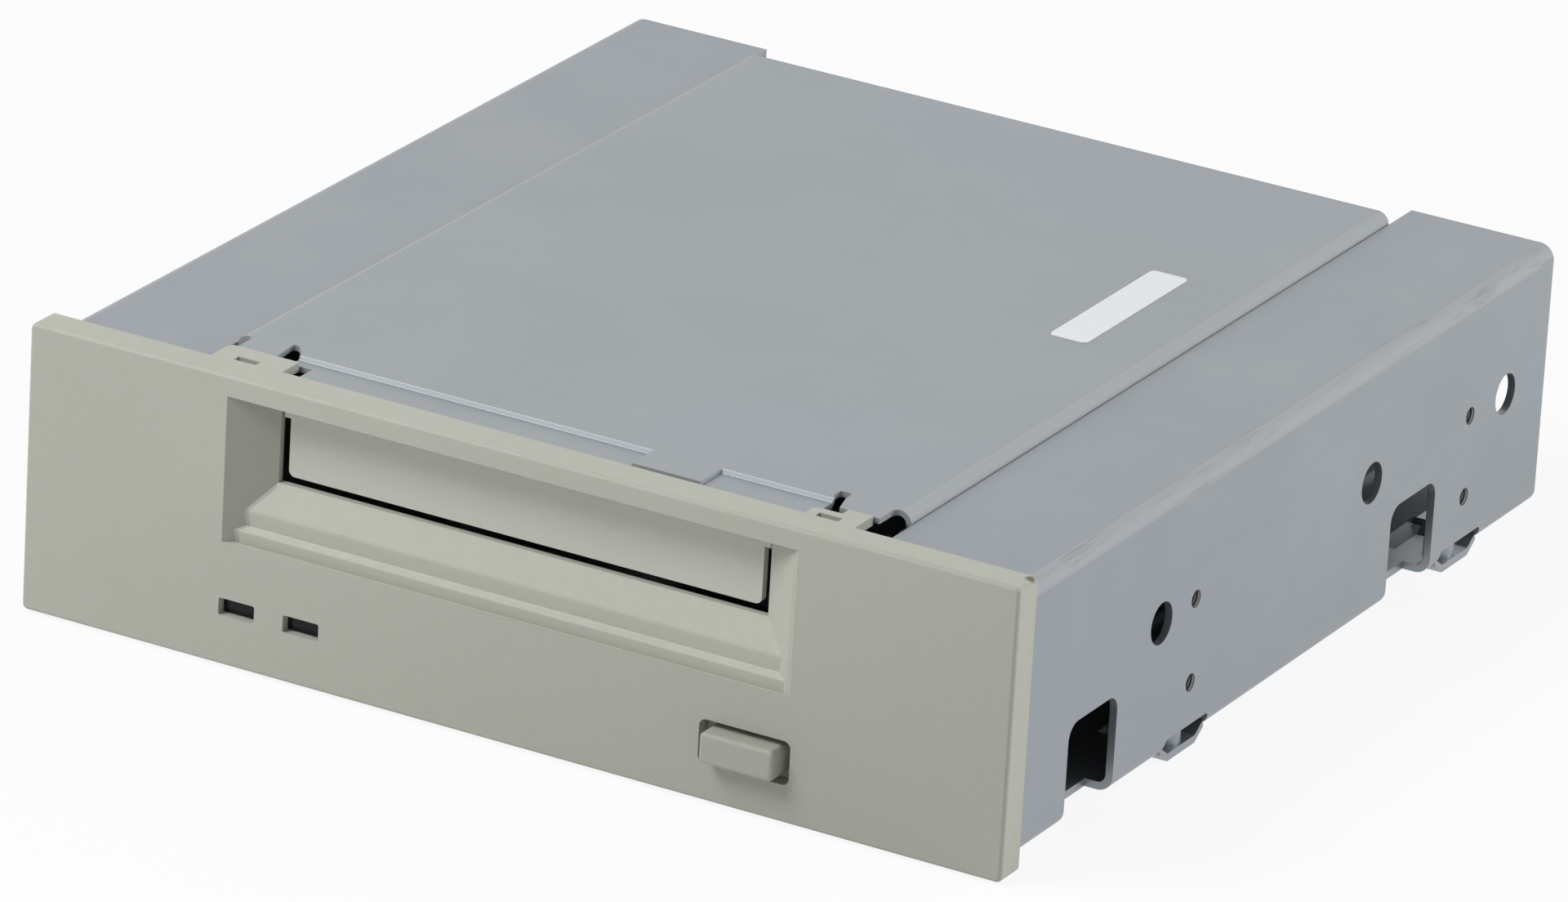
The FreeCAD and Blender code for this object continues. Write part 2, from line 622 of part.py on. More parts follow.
def make_eject_button():
    body = new_body("eject_button")
    half_x, half_z = s.button_width / 2, s.button_height / 2
    front = -s.bezel_thick - s.button_proud
    back = wall_back + s.button_rest_gap
    cap = sketch_at(body, "XZ", front)
    rectangle(cap, s.button_centre - half_x, s.button_z - half_z,
              s.button_centre + half_x, s.button_z + half_z, s.button_edge)
    pad(body, cap, back - front)
    round_edges(body, s.button_edge * 0.8, lambda edge: on_plane(edge, 1, front))
    flange = sketch_at(body, "XZ", back)
    rectangle(flange, s.button_centre - flange_half_x, s.button_z - flange_half_z,
              s.button_centre + flange_half_x, s.button_z + flange_half_z)
    pad(body, flange, s.button_flange)
    stem = sketch_at(body, "XZ", back + s.button_flange)
    circle(stem, s.button_centre, s.button_z, s.plunger_radius)
    pad(body, stem, s.switch_front - s.button_travel - s.lens_gap - back - s.button_flange)
    return node("eject_button", body)


def make_front_board():
    body = new_body("front_board")
    board = sketch_at(body, "XZ", s.front_board_y)
    rectangle(board, -s.front_board_half, s.front_board_low, s.front_board_half,
              s.front_board_high, 1.0)
    pad(body, board, s.front_board_thick)
    holes = sketch_at(body, "XZ", s.front_board_y)
    for x in front_post_places():
        circle(holes, x, s.front_post_z, s.front_screw_radius + s.hole_gap)
    pocket(body, holes, s.front_board_thick)
    node("front_board", body)
    window_z = s.window_low + s.window_height / 2
    leds = [rod(-x, s.front_board_y - s.led_height, window_z, s.led_radius, s.led_height, "Y")
            for x in (s.window_one, s.window_two)]
    node("indicator_leds", group(*leds))
    size = s.switch_size / 2
    switch = block(s.button_centre - size, s.switch_front + s.plunger_rise,
                   s.button_z - size, s.button_centre + size, s.front_board_y,
                   s.button_z + size)
    plunger = rod(s.button_centre, s.switch_front, s.button_z, s.plunger_radius,
                  s.plunger_rise, "Y")
    node("eject_switch", fuse(switch, plunger))
    back = s.front_board_y + s.front_board_thick
    screws = [screw(x, back, s.front_post_z, "-Y",
                    s.front_screw_length + s.front_board_thick - s.hole_gap,
                    s.front_screw_radius, s.front_screw_radius * 2, s.front_screw_radius)
              for x in front_post_places()]
    node("front_board_screws", group(*screws))


# ---- side brackets ----------------------------------------------------------------------

def make_bracket(label, side):
    """One folded channel: top flange, outer wall, bottom flange and inner wall."""
    body = new_body(label)
    half, sheet, bend = s.bracket_half, s.bracket_sheet, s.bracket_bend
    low, top, inner = s.bracket_low, s.bracket_top, s.cover_half
    section = [(s.flange_edge, top), (half, top, bend), (half, low, bend), (inner, low, bend),
               (inner, s.inner_wall_top), (inner + sheet, s.inner_wall_top),
               (inner + sheet, low + sheet, bend - sheet),
               (half - sheet, low + sheet, bend - sheet),
               (half - sheet, top - sheet, bend - sheet), (s.flange_edge, top - sheet)]
    sketch = sketch_at(body, "XZ", s.bracket_start)
    outline(sketch, mirrored(section, side))
    pad(body, sketch, s.bracket_length)
    cut_side_windows(body, side)
    add_mounting_pads(body, side)
    add_side_threads(body, side)
    inner_holes = sketch_at(body, "YZ", (inner - 1) * side)
    for y in access_holes:
        circle(inner_holes, y, s.access_z, s.screw_radius + s.hole_gap)
    pocket(body, inner_holes, sheet + 2, side)
    return node(label, body)


def cut_side_windows(body, side):
    """Windows that run down the outer wall and through the lower bend."""
    sketch = sketch_at(body, "YZ", (s.bracket_half - s.side_window_in) * side)
    for start in (s.side_window_front, s.side_window_front + s.side_window_pitch):
        end = start + s.side_window_length
        outline(sketch, [(start, s.bracket_low - 1), (end, s.bracket_low - 1),
                         (end, s.side_window_top, s.side_window_corner),
                         (start, s.side_window_top, s.side_window_corner)])
    pocket(body, sketch, s.side_window_in + 1, side)
    access = sketch_at(body, "YZ", (s.bracket_half - s.side_window_in) * side)
    for y in access_holes:
        circle(access, y, s.access_z, s.access_radius)
    pocket(body, access, s.side_window_in + 1, side)


def add_mounting_pads(body, side):
    """Lowered pads with drawn and threaded collars in the bottom flange."""
    half, sheet, low = s.bracket_half, s.bracket_sheet, s.bracket_low
    start, edge = half - s.pad_reach, half - s.pad_inset
    gaps = sketch_at(body, "YZ", start * side)
    for front in (s.pad_front, s.pad_front + s.pad_pitch):
        rectangle(gaps, front, low - 1, front + s.pad_length, s.pad_slot_top,
                  s.pad_slot_corner)
    pocket(body, gaps, s.pad_reach + 1, side)
    for front in (s.pad_front, s.pad_front + s.pad_pitch):
        step = sketch_at(body, "XZ", front + s.pad_run)
        outline(step, mirrored([
            (start, low + sheet), (start + s.pad_slope, sheet), (edge, sheet), (edge, 0),
            (start + s.pad_slope - sheet / 4, 0), (start, low)], side))
        pad(body, step, s.pad_length - s.pad_run * 2)
    ends = sketch_at(body, "YZ", (start + s.pad_slope) * side)
    for front in (s.pad_front, s.pad_front + s.pad_pitch):
        back = front + s.pad_length
        for near, far in ((front, front + s.pad_run), (back - s.pad_run, back)):
            rise, fall = (low, 0) if near is front else (0, low)
            outline(ends, [(near, rise), (far, fall), (far, fall + sheet),
                           (near, rise + sheet)])
    pad(body, ends, edge - start - s.pad_slope, side)
    middle = (half - s.bottom_inset) * side
    holes = [s.hole_front, s.hole_front + s.hole_pitch]
    collars = sketch_at(body, "XY", sheet / 2)
    for y in holes:
        circle(collars, middle, y, s.tap_collar)
    pad(body, collars, sheet / 2 + s.tap_collar_rise * 2)
    taps = sketch_at(body, "XY", -1)
    for y in holes:
        circle(taps, middle, y, s.tap_radius)
    pocket(body, taps, sheet + s.tap_collar_rise * 2 + 2)


def add_side_threads(body, side):
    """Four threaded holes with drawn collars inside the outer wall."""
    places = [(y, z) for y in (s.hole_front, s.hole_front + s.hole_pitch)
              for z in (s.side_hole_low, s.side_hole_low + s.side_hole_rise)]
    inside = s.bracket_half - s.bracket_sheet
    collars = sketch_at(body, "YZ", (inside + s.bracket_sheet / 2) * side)
    taps = sketch_at(body, "YZ", (inside - s.tap_collar_rise - 1) * side)
    for y, z in places:
        circle(collars, y, z, s.tap_collar)
        circle(taps, y, z, s.tap_radius)
    pad(body, collars, s.bracket_sheet / 2 + s.tap_collar_rise, -side)
    pocket(body, taps, s.bracket_sheet + s.tap_collar_rise + 2, side)


# ---- cover and base pan of the tape unit ------------------------------------------------

def make_cover():
    body = new_body("top_cover")
    half, top, sheet, roll = s.cover_half, s.cover_top, s.cover_sheet, s.cover_roll
    skin = sketch_at(body, "XZ", s.cover_front)
    outline(skin, [(-half, s.cover_low), (half, s.cover_low), (half, top, roll),
                   (-half, top, roll)])
    pad(body, skin, s.cover_rear - s.cover_front)
    hollow = sketch_at(body, "XZ", s.cover_front)
    outline(hollow, [(sheet - half, s.cover_low - 1), (half - sheet, s.cover_low - 1),
                     (half - sheet, top - sheet, roll - sheet),
                     (sheet - half, top - sheet, roll - sheet)])
    pocket(body, hollow, s.cover_rear - s.cover_front)
    for start, end in ((-s.relief_left_in, s.strip_left_in),
                       (s.strip_right_in, s.strip_right_out)):
        lower_strip(body, start, end)
    trim_front_corners(body)
    holes = sketch_at(body, "YZ", -half - 1)
    for y in access_holes:
        circle(holes, y, s.access_z, s.screw_radius + s.hole_gap)
    pocket(body, holes, half * 2 + 2)
    return node("top_cover", body)


def lower_strip(body, start, end):
    """A strip of the front edge is stepped down so that it slides below the bezel's lip."""
    top, drop, sheet = s.cover_top, s.strip_drop, s.cover_sheet
    back = s.strip_back + s.strip_slope
    step = sketch_at(body, "YZ", start)
    outline(step, [(s.cover_front - 1, top - drop), (s.strip_back, top - drop), (back, top),
                   (back, top + 1), (s.cover_front - 1, top + 1)])
    pocket(body, step, end - start)
    strip = sketch_at(body, "YZ", start)
    outline(strip, [(s.strip_front, top - drop - sheet), (s.strip_back, top - drop - sheet),
                    (back, top - sheet), (back, top), (s.strip_back, top - drop),
                    (s.strip_front, top - drop)])
    pad(body, strip, end - start)


def trim_front_corners(body):
    """Notches for the tongues, with curved relief slots at their inner ends."""
    out, gap, back = s.cover_half + 1, s.notch_gap, s.relief_back
    edge = s.tongue_reach + gap
    roll_end, r = s.corner_hole_back, s.relief_radius
    left_in, slot_left = s.relief_left_in, s.relief_left_out
    left = [(-out, -1), (-s.strip_left_out, -1), (-s.strip_left_out, edge),
            (-left_in, edge), (-left_in, (edge + back) / 2, 2 * r),
            (r - slot_left, back, r / 2), (-slot_left, back, r / 2),
            (r / 2 - slot_left, edge), (-s.corner_hole_in, edge),
            (-s.corner_hole_in, roll_end, r), (-out, roll_end)]
    wide, slim = s.relief_right_out, s.relief_right_in
    right = [(out, -1), (out, roll_end), (s.corner_hole_in, roll_end, r),
             (s.corner_hole_in, edge), (wide + r, edge), (wide, back - 2 * r, 2 * r),
             (wide, back, r / 2), (slim, back, r / 2), (slim, back - 2 * r, r),
             (s.strip_right_out, (edge + back) / 2, r),
             (s.strip_right_out, s.tongue_step_y + gap),
             (s.tongue_right_in - gap, s.tongue_step_y + gap),
             (s.tongue_right_in - gap, -1)]
    for shape in (left, right):
        sketch = sketch_at(body, "XY", s.cover_low - 1)
        outline(sketch, shape)
        pocket(body, sketch, s.cover_top)


def make_base_pan():
    body = new_body("base_pan")
    half, sheet, low = pan_half, s.pan_sheet, s.pan_low
    roll = s.cover_roll
    section = sketch_at(body, "XZ", s.pan_front)
    outline(section, [(-half, s.pan_top), (-half, low, roll), (half, low, roll),
                      (half, s.pan_top), (half - sheet, s.pan_top),
                      (half - sheet, low + sheet, roll - sheet),
                      (sheet - half, low + sheet, roll - sheet), (sheet - half, s.pan_top)])
    pad(body, section, s.pan_rear - s.pan_front)
    lip = sketch_at(body, "XZ", s.pan_rear - sheet)
    rectangle(lip, roll - half, low + sheet / 2, half - roll, s.rear_lip - s.hole_gap)
    pad(body, lip, sheet)
    clear_front = sketch_at(body, "YZ", -half - 1)
    rectangle(clear_front, s.pan_front - 1, s.pan_front_wall, s.roll_clear, s.pan_top + 1)
    pocket(body, clear_front, half * 2 + 2)
    bosses = sketch_at(body, "XY", pan_floor - sheet / 2)
    for x, y in boss_places():
        circle(bosses, x, y, s.boss_radius)
    pad(body, bosses, s.board_low - pan_floor + sheet / 2)
    holes = sketch_at(body, "XY", low - 1)
    for x, y in boss_places():
        circle(holes, x, y, s.screw_radius + s.thread_gap)
    pocket(body, holes, s.board_low - low + 2)
    side_taps = sketch_at(body, "YZ", -half - 1)
    for y in access_holes:
        circle(side_taps, y, s.access_z, s.screw_radius + s.thread_gap)
    pocket(body, side_taps, half * 2 + 2)
    cut_vents(body, low)
    return node("base_pan", body)


def cut_vents(body, low):
    """A row of rounded vent slots across the floor."""
    vent = sketch_at(body, "XY", low - 1)
    rectangle(vent, -s.vent_reach, s.vent_front, s.vent_width - s.vent_reach,
              s.vent_front + s.vent_length, s.vent_width / 2 - 0.01)
    feature = pocket(body, vent, s.pan_sheet + 2)
    row = body.newObject("PartDesign::LinearPattern", "vents")
    row.Originals = [feature]
    row.Direction = (vent, ["H_Axis"])
    bind(row, "Length", s.vent_reach * 2 - s.vent_width)
    row.Occurrences = 9
    body.Tip = row
    document.recompute()


def boss_places():
    x = s.board_half - s.boss_inset_x
    return [(x * side, y) for side in (-1, 1)
            for y in (s.board_front + s.boss_inset_y, s.board_rear - s.boss_inset_y)]


def make_bracket_screws():
    grip = s.bracket_sheet + s.cover_sheet + s.pan_sheet + s.screw_tail
    screws = []
    for side, axis in ((1, "-X"), (-1, "X")):
        for y in access_holes:
            seat = (s.cover_half + s.bracket_sheet) * side
            screws.append(screw(seat, y, s.access_z, axis, grip))
    node("bracket_screws", group(*screws))


# ---- main board and connectors ------------------------------------------------------------

def make_main_board():
    body = new_body("main_board")
    board = sketch_at(body, "XY", s.board_low)
    rectangle(board, -s.board_half, s.board_front, s.board_half, s.board_rear, 2.0)
    pad(body, board, s.board_thick)
    holes = sketch_at(body, "XY", s.board_low)
    for x, y in boss_places():
        circle(holes, x, y, s.screw_radius + s.hole_gap)
    for x, y in post_places():
        circle(holes, as_size(slot_mid) + x, y, s.post_radius + s.hole_gap * 2)
    pocket(body, holes, s.board_thick)
    node("main_board", body)
    length = s.board_top_screw - s.hole_gap
    node("board_screws", group(*[screw(x, y, board_top, "-Z", length)
                                 for x, y in boss_places()]))
    chips = [block(x, y, board_top, as_size(x) + across, as_size(y) + deep, board_top + tall)
             for x, y, across, deep, tall in (
                 (-40, 60, 22, 22, 2.0), (4, 94, 26, 18, 2.0), (14, 50, 16, 16, 1.8),
                 (-20, 102, 14, 20, 1.8), (-8, 14, 18, 10, 1.6), (32, 112, 8, 12, 1.6),
                 (-30, 20, 12, 8, 1.6))]
    node("board_chips", group(*chips))


def make_bus_connector():
    """A shrouded two-row pin header for the bus cable, open to the rear."""
    body = new_body("bus_connector")
    half, wall = s.bus_width / 2, s.bus_wall
    middle, front = s.bus_centre, s.plug_face - s.bus_depth
    shell = sketch_at(body, "XZ", front)
    rectangle(shell, middle - half, board_top, middle + half, board_top + s.bus_height, 0.4)
    pad(body, shell, s.bus_depth)
    socket = sketch_at(body, "XZ", front + wall)
    rectangle(socket, middle - half + wall * 2, board_top + wall, middle + half - wall * 2,
              board_top + s.bus_height - wall)
    pocket(body, socket, s.bus_depth)
    key = sketch_at(body, "XZ", s.plug_face - s.bus_depth / 2)
    rectangle(key, middle - s.key_width / 2, board_top + s.bus_height - wall * 1.5,
              middle + s.key_width / 2, board_top + s.bus_height + 1)
    pocket(body, key, s.bus_depth)
    node("bus_connector", body)
    pins = []
    reach = s.bus_pitch * (s.bus_pins - 1) / 2
    for row in (-0.5, 0.5):
        z = board_top + s.bus_height / 2 + s.bus_pitch * row - s.pin_size / 2
        for column in range(int(SIZES["bus_pins"])):
            x = middle - reach + s.bus_pitch * column - s.pin_size / 2
            pins.append(block(x, front + wall, z, x + s.pin_size, s.plug_face - wall,
                              z + s.pin_size))
    node("bus_pins", group(*pins))


def make_power_connector():
    """A four-way power header with its two bevelled corners."""
    body = new_body("power_connector")
    half, wall, bevel = s.power_width / 2, s.power_wall, s.power_height / 3
    middle, front = s.power_centre, s.plug_face - s.power_depth
    high = board_top + s.power_height
    for inset, run, tool in ((0, s.power_depth, pad), (wall, s.power_depth, pocket)):
        sketch = sketch_at(body, "XZ", front + inset)
        low_z, high_z = board_top + inset, high - inset
        outline(sketch, [(middle - half + inset, low_z), (middle + half - inset, low_z),
                         (middle + half - inset, high_z - bevel),
                         (middle + half - inset - bevel, high_z),
                         (middle - half + inset + bevel, high_z),
                         (middle - half + inset, high_z - bevel)])
        tool(body, sketch, run)
    node("power_connector", body)
    pins = [rod(middle + s.power_pitch * place, front + wall,
                board_top + s.power_height / 2, s.power_pin_radius,
                s.power_depth - wall * 2, "Y") for place in (-1.5, -0.5, 0.5, 1.5)]
    node("power_pins", group(*pins))


# ---- deck ---------------------------------------------------------------------------------

def post_places():
    x = deck_half + s.post_beside
    return [(x * side, y) for side in (-1, 1) for y in (s.post_front, s.post_rear)]


def track_ends(side):
    return ((s.carriage_start_x * side, s.carriage_start_y),
            (s.carriage_end_x * side, s.carriage_end_y))


def capsule(sketch, start, end, width):
    """A slot outline with round ends between two centres."""
    x0, y0, x1, y1 = (number(v) for v in start + end)
    length = math.hypot(x1 - x0, y1 - y0)
    r = number(width) / 2
    along_x, along_y = (x1 - x0) / length * r, (y1 - y0) / length * r
    corners = [(x0 - along_x + along_y, y0 - along_y - along_x),
               (x1 + along_x + along_y, y1 + along_y - along_x),
               (x1 + along_x - along_y, y1 + along_y + along_x),
               (x0 - along_x - along_y, y0 - along_y + along_x)]
    outline(sketch, [(x, y, r * 0.999) for x, y in corners])


def make_deck():
    """The plate that carries the transport, with ears that rest on four posts."""
    body = new_body("mechanism_deck")
    half, ear, length = deck_half, deck_half + s.ear_reach, s.ear_length
    front, rear = s.deck_front, s.deck_rear
    right = [(half, front), (half, s.post_front - length / 2),
             (ear, s.post_front - length / 2, 1.0), (ear, s.post_front + length / 2, 1.0),
             (half, s.post_front + length / 2), (half, s.post_rear - length / 2),
             (ear, s.post_rear - length / 2, 1.0), (ear, s.post_rear + length / 2, 1.0),
             (half, s.post_rear + length / 2), (half, rear, 2.0)]
    left = mirrored(right[::-1], -1)
    plate = sketch_at(body, "XY", s.deck_low)
    outline(plate, right + left)
    pad(body, plate, s.deck_thick)
    holes = sketch_at(body, "XY", s.deck_low - 1)
    for x, y in post_places():
        circle(holes, x, y, s.screw_radius + s.hole_gap)
    for side in (-1, 1):
        circle(holes, s.reel_half * side, s.reel_y, s.reel_hub)
        capsule(holes, *track_ends(side), s.track_width)
    circle(holes, 0, s.drum_y, s.drum_stem + s.drum_hole_gap)
    circle(holes, s.capstan_x, s.capstan_y, s.capstan_bearing + s.hole_gap)
    circle(holes, s.gear_x, s.gear_y + gear_distance(), s.motor_shaft * 3)
    pocket(body, holes, s.deck_thick + 2)
    axle = sketch_at(body, "XY", s.gear_low - s.axle_gap * 5)
    circle(axle, s.gear_x, s.gear_y, s.axle_radius)
    pad(body, axle, s.deck_low - s.gear_low + s.axle_gap * 5)
    pivot = sketch_at(body, "XY", deck_top)
    circle(pivot, s.pinch_pivot_x, s.pinch_pivot_y, s.arm_radius * 0.8)
    pad(body, pivot, s.arm_low - deck_top - s.axle_gap * 2)
    pin = sketch_at(body, "XY", deck_top)
    circle(pin, s.pinch_pivot_x, s.pinch_pivot_y, s.axle_radius)
    pad(body, pin, s.arm_low + s.arm_thick * 3 - deck_top)
    mechanism("mechanism_deck", body)


def make_posts_and_screws():
    """Hexagonal standoffs between the pan and the deck, and the screws in their tops."""
    posts, screws = [], []
    for x, y in post_places():
        body = new_body("post")
        hexagon = sketch_at(body, "XY", pan_floor)
        turns = [math.radians(60 * k) for k in range(6)]
        outline(hexagon, [(x + s.post_radius * math.cos(a), y + s.post_radius * math.sin(a))
                          for a in turns])
        pad(body, hexagon, s.deck_low - pan_floor)
        tap = sketch_at(body, "XY", s.deck_low - s.post_thread)
        circle(tap, x, y, s.screw_radius + s.thread_gap)
        pocket(body, tap, s.post_thread + 1)
        posts.append(body)
        screws.append(screw(x, y, deck_top, "-Z", s.deck_thick + s.post_thread - s.hole_gap))
    mechanism("deck_posts", group(*posts))
    mechanism("deck_screws", group(*screws))


# ---- cassette holder and its lift ----------------------------------------------------------

holder_top = s.holder_low + s.holder_sheet * 2 + s.holder_gap * 2 + s.cassette_height
pin_places = [s.pin_front, s.pin_front + s.pin_pitch]
stud_places = [s.stud_front, s.stud_front + s.stud_pitch]


def make_holder():
    """The tray that takes the cassette: two channels joined by a roof."""
    body = new_body("cassette_holder")
    half, low, top, sheet = holder_half, s.holder_low, holder_top, s.holder_sheet
    right = [(half - s.holder_lip, low), (half, low, 0.9), (half, top, 0.9)]
    left = mirrored(right[::-1], -1)
    inside = [(s.holder_lip - half, low + sheet), (sheet - half, low + sheet),
              (sheet - half, top - sheet), (half - sheet, top - sheet),
              (half - sheet, low + sheet), (half - s.holder_lip, low + sheet)]
    section = sketch_at(body, "XZ", s.holder_front)
    outline(section, right + left + inside)
    pad(body, section, s.holder_length)
    roof = sketch_at(body, "XY", top - sheet * 1.5)
    front, back = s.holder_front, s.holder_front + s.holder_length
    door_room = half - sheet - 0.001
    outline(roof, [(-door_room, front - 1), (door_room, front - 1),
                   (door_room, s.holder_roof_front, 1.0),
                   (-door_room, s.holder_roof_front, 1.0)])
    rectangle(roof, -s.roof_window_half, s.roof_window_front, s.roof_window_half,
              back - s.roof_window_back, 2.0)
    pocket(body, roof, sheet * 3)
    stops = sketch_at(body, "XY", low + sheet / 2)
    for side in (-1, 1):
        outline(stops, mirrored([
            (half - sheet / 2, back), (half - s.holder_lip / 2, back),
            (half - s.holder_lip / 2, back - sheet), (half - sheet / 2, back - sheet)], side))
    pad(body, stops, top - low - sheet)
    mechanism("cassette_holder", body)
    pins = [rod(half * side if side > 0 else -pin_reach, y, s.pin_z, s.pin_radius,
                pin_reach - half, "X") for side in (-1, 1) for y in pin_places]
    mechanism("holder_pins", group(*pins))


def make_guide_plate(label, side):
    """An upright plate with the holder's vertical slots and studs for the cam plate."""
    body = new_body(label)
    inner, sheet = guide_plate_in, s.guide_plate_sheet
    front, back = s.guide_plate_front, s.guide_plate_front + s.guide_plate_length
    plate = sketch_at(body, "YZ", inner * side)
    outline(plate, [(front, deck_top), (back, deck_top), (back, s.guide_plate_top, 2.0),
                    (front, s.guide_plate_top, 2.0)])
    pad(body, plate, sheet, side)
    slots = sketch_at(body, "YZ", (inner - 1) * side)
    for y in pin_places:
        capsule(slots, (y, s.pin_z - s.holder_drop), (y, s.pin_z),
                (s.pin_radius + s.pin_gap) * 2)
    pocket(body, slots, sheet + 2, side)
    foot = sketch_at(body, "XY", deck_top)
    outline(foot, mirrored([
        (inner, front), (inner - s.foot_reach, front, 1.0),
        (inner - s.foot_reach, back, 1.0), (inner, back)], side))
    pad(body, foot, sheet)
    studs = sketch_at(body, "YZ", (inner + sheet / 2) * side)
    for y in stud_places:
        circle(studs, y, s.stud_z, s.pin_radius)
    pad(body, studs, pin_reach - inner - sheet / 2, side)
    mechanism(label, body)


def make_cam_plate(label, side):
    """A sliding plate whose slanted slots lower the holder's pins."""
    body = new_body(label)
    front = s.guide_plate_front
    plate = sketch_at(body, "YZ", cam_plate_in * side)
    rectangle(plate, front, s.cam_plate_low, front + s.cam_plate_length, s.cam_plate_top, 1.5)
    pad(body, plate, s.guide_plate_sheet, side)
    slots = sketch_at(body, "YZ", (cam_plate_in - 1) * side)
    width = (s.pin_radius + s.pin_gap) * 2
    for y in pin_places:
        capsule(slots, (y - s.cam_travel, s.pin_z - s.holder_drop), (y, s.pin_z), width)
    for y in stud_places:
        capsule(slots, (y - s.cam_travel, s.stud_z), (y, s.stud_z), width)
    pocket(body, slots, s.guide_plate_sheet + 2, side)
    mechanism(label, body)


def make_yoke():
    """A cross bar below the deck that joins the cam plates and carries the rack."""
    body = new_body("lift_yoke")
    low, sheet, out = s.yoke_low, s.yoke_sheet, cam_plate_out
    front, back = s.yoke_front, s.yoke_front + s.yoke_width
    bar = sketch_at(body, "XY", low)
    rectangle(bar, -out - sheet, front, out + sheet, back)
    pad(body, bar, sheet)
    risers = sketch_at(body, "XY", low)
    for side in (-1, 1):
        outline(risers, mirrored([
            (out, front), (out + sheet, front), (out + sheet, back), (out, back)], side))
    pad(body, risers, s.cam_plate_low + sheet * 0.6 - low)
    line = s.gear_x - s.rack_module * s.rack_pinion_teeth / 2
    foot = line - s.rack_module * s.dedendum
    arm = sketch_at(body, "XY", low)
    rectangle(arm, foot - s.rack_body, back - 1, foot, s.rack_back)
    pad(body, arm, sheet)
    add_rack_teeth(body, line)
    mechanism("lift_yoke", body)


def add_rack_teeth(body, line):
    """Straight-flanked teeth; one lies on the pinion's centre line at rest."""
    pitch = math.pi * SIZES["rack_module"]
    high = number(s.rack_module * s.addendum)
    deep = number(s.rack_module * s.dedendum)
    lean = math.tan(math.radians(SIZES["pressure_angle"]))
    half = pitch / 4 - SIZES["gear_backlash"] / 2
    first = int((SIZES["gear_y"] - number(s.cam_travel) - SIZES["yoke_front"] - 12) / pitch)
    teeth = sketch_at(body, "XY", s.yoke_low)
    for k in range(-first, 3):
        middle = number(s.gear_y) + k * pitch
        x = number(line)
        outline(teeth, [(x - deep - 0.1, middle - half - deep * lean),
                        (x + high, middle - half + high * lean),
                        (x + high, middle + half - high * lean),
                        (x - deep - 0.1, middle + half + deep * lean)])
    pad(body, teeth, s.yoke_sheet)


# ---- gears -----------------------------------------------------------------------------------

def gear_distance():
    return s.drive_module * (s.drive_gear_teeth + s.drive_pinion_teeth) / 2


def tooth_gap(teeth, module, middle):
    """The outline of one space between involute teeth, centred on an angle in degrees."""
    angle = math.radians(SIZES["pressure_angle"])
    pitch_r = teeth * module / 2
    base_r = pitch_r * math.cos(angle)
    root_r = pitch_r - module * SIZES["dedendum"]
    tip_r = pitch_r + module * SIZES["addendum"]
    half_gap = math.pi / (2 * teeth) + SIZES["gear_backlash"] / 2 / pitch_r

    def involute(r):
        turn = math.acos(min(1.0, base_r / r))
        return math.tan(turn) - turn

    start = max(root_r, base_r)
    steps = [start + (tip_r - start) * k / 3 for k in range(4)]
    flank = [(r, half_gap - involute(pitch_r) + involute(r)) for r in steps]
    flank.append((tip_r * 1.2, flank[-1][1]))
    if root_r < base_r:
        flank.insert(0, (root_r, flank[0][1]))
    sides = [(r, -a) for r, a in reversed(flank)] + flank
    turn = math.radians(middle)
    return [(r * math.cos(a + turn), r * math.sin(a + turn)) for r, a in sides]


def add_gear(body, teeth, module, low, thick, middle):
    """A toothed disc: a plain disc with one tooth space cut and repeated round it."""
    count = int(number(teeth))
    disc = sketch_at(body, "XY", low)
    circle(disc, 0, 0, module * (teeth / 2 + s.addendum))
    pad(body, disc, thick)
    gap = sketch_at(body, "XY", low)
    outline(gap, tooth_gap(count, number(module), middle))
    feature = pocket(body, gap, thick)
    ring = body.newObject("PartDesign::PolarPattern", "teeth")
    ring.Originals = [feature]
    ring.Axis = (disc, ["N_Axis"])
    ring.Angle = 360
    ring.Occurrences = count
    body.Tip = ring
    document.recompute()


def make_gears():
    """A compound gear on the deck's axle, and the pinion on the loading motor's shaft."""
    body = new_body("loading_gear")
    high = s.yoke_low + s.yoke_sheet + s.gear_thick / 2
    hub = s.gear_low + s.gear_thick
    add_gear(body, s.rack_pinion_teeth, s.rack_module, hub, high - hub, 180)
    add_gear(body, s.drive_gear_teeth, s.drive_module, s.gear_low, s.gear_thick, 90)
    bore = sketch_at(body, "XY", s.gear_low - 1)
    circle(bore, 0, 0, s.axle_radius + s.axle_gap)
    pocket(body, bore, high - s.gear_low + 2)
    move(body, s.gear_x, s.gear_y)
    mechanism("loading_gear", body)
    pinion = new_body("motor_pinion")
    tooth_on_line = 270 - 180 / SIZES["drive_pinion_teeth"]
    add_gear(pinion, s.drive_pinion_teeth, s.drive_module, s.gear_low, s.gear_thick,
             tooth_on_line)
    shaft = sketch_at(pinion, "XY", s.gear_low)
    circle(shaft, 0, 0, s.motor_shaft)
    pad(pinion, shaft, deck_top + s.motor_height / 2 - s.gear_low)
    move(pinion, s.gear_x, s.gear_y + gear_distance())
    mechanism("motor_pinion", pinion)
    can, bore = s.motor_radius, s.motor_shaft + s.axle_gap
    top, socket = deck_top + s.motor_height, deck_top + s.motor_height / 2 + s.axle_gap * 5
    boss = s.motor_shaft * 3
    motor = turned([(bore, deck_top), (can, deck_top), (can, top - 1), (can - 1, top),
                    (boss, top), (boss, top + 1), (0, top + 1), (0, socket), (bore, socket)],
                   s.gear_x, s.gear_y + gear_distance())
    mechanism("loading_motor", motor)


# ---- tape transport --------------------------------------------------------------------------

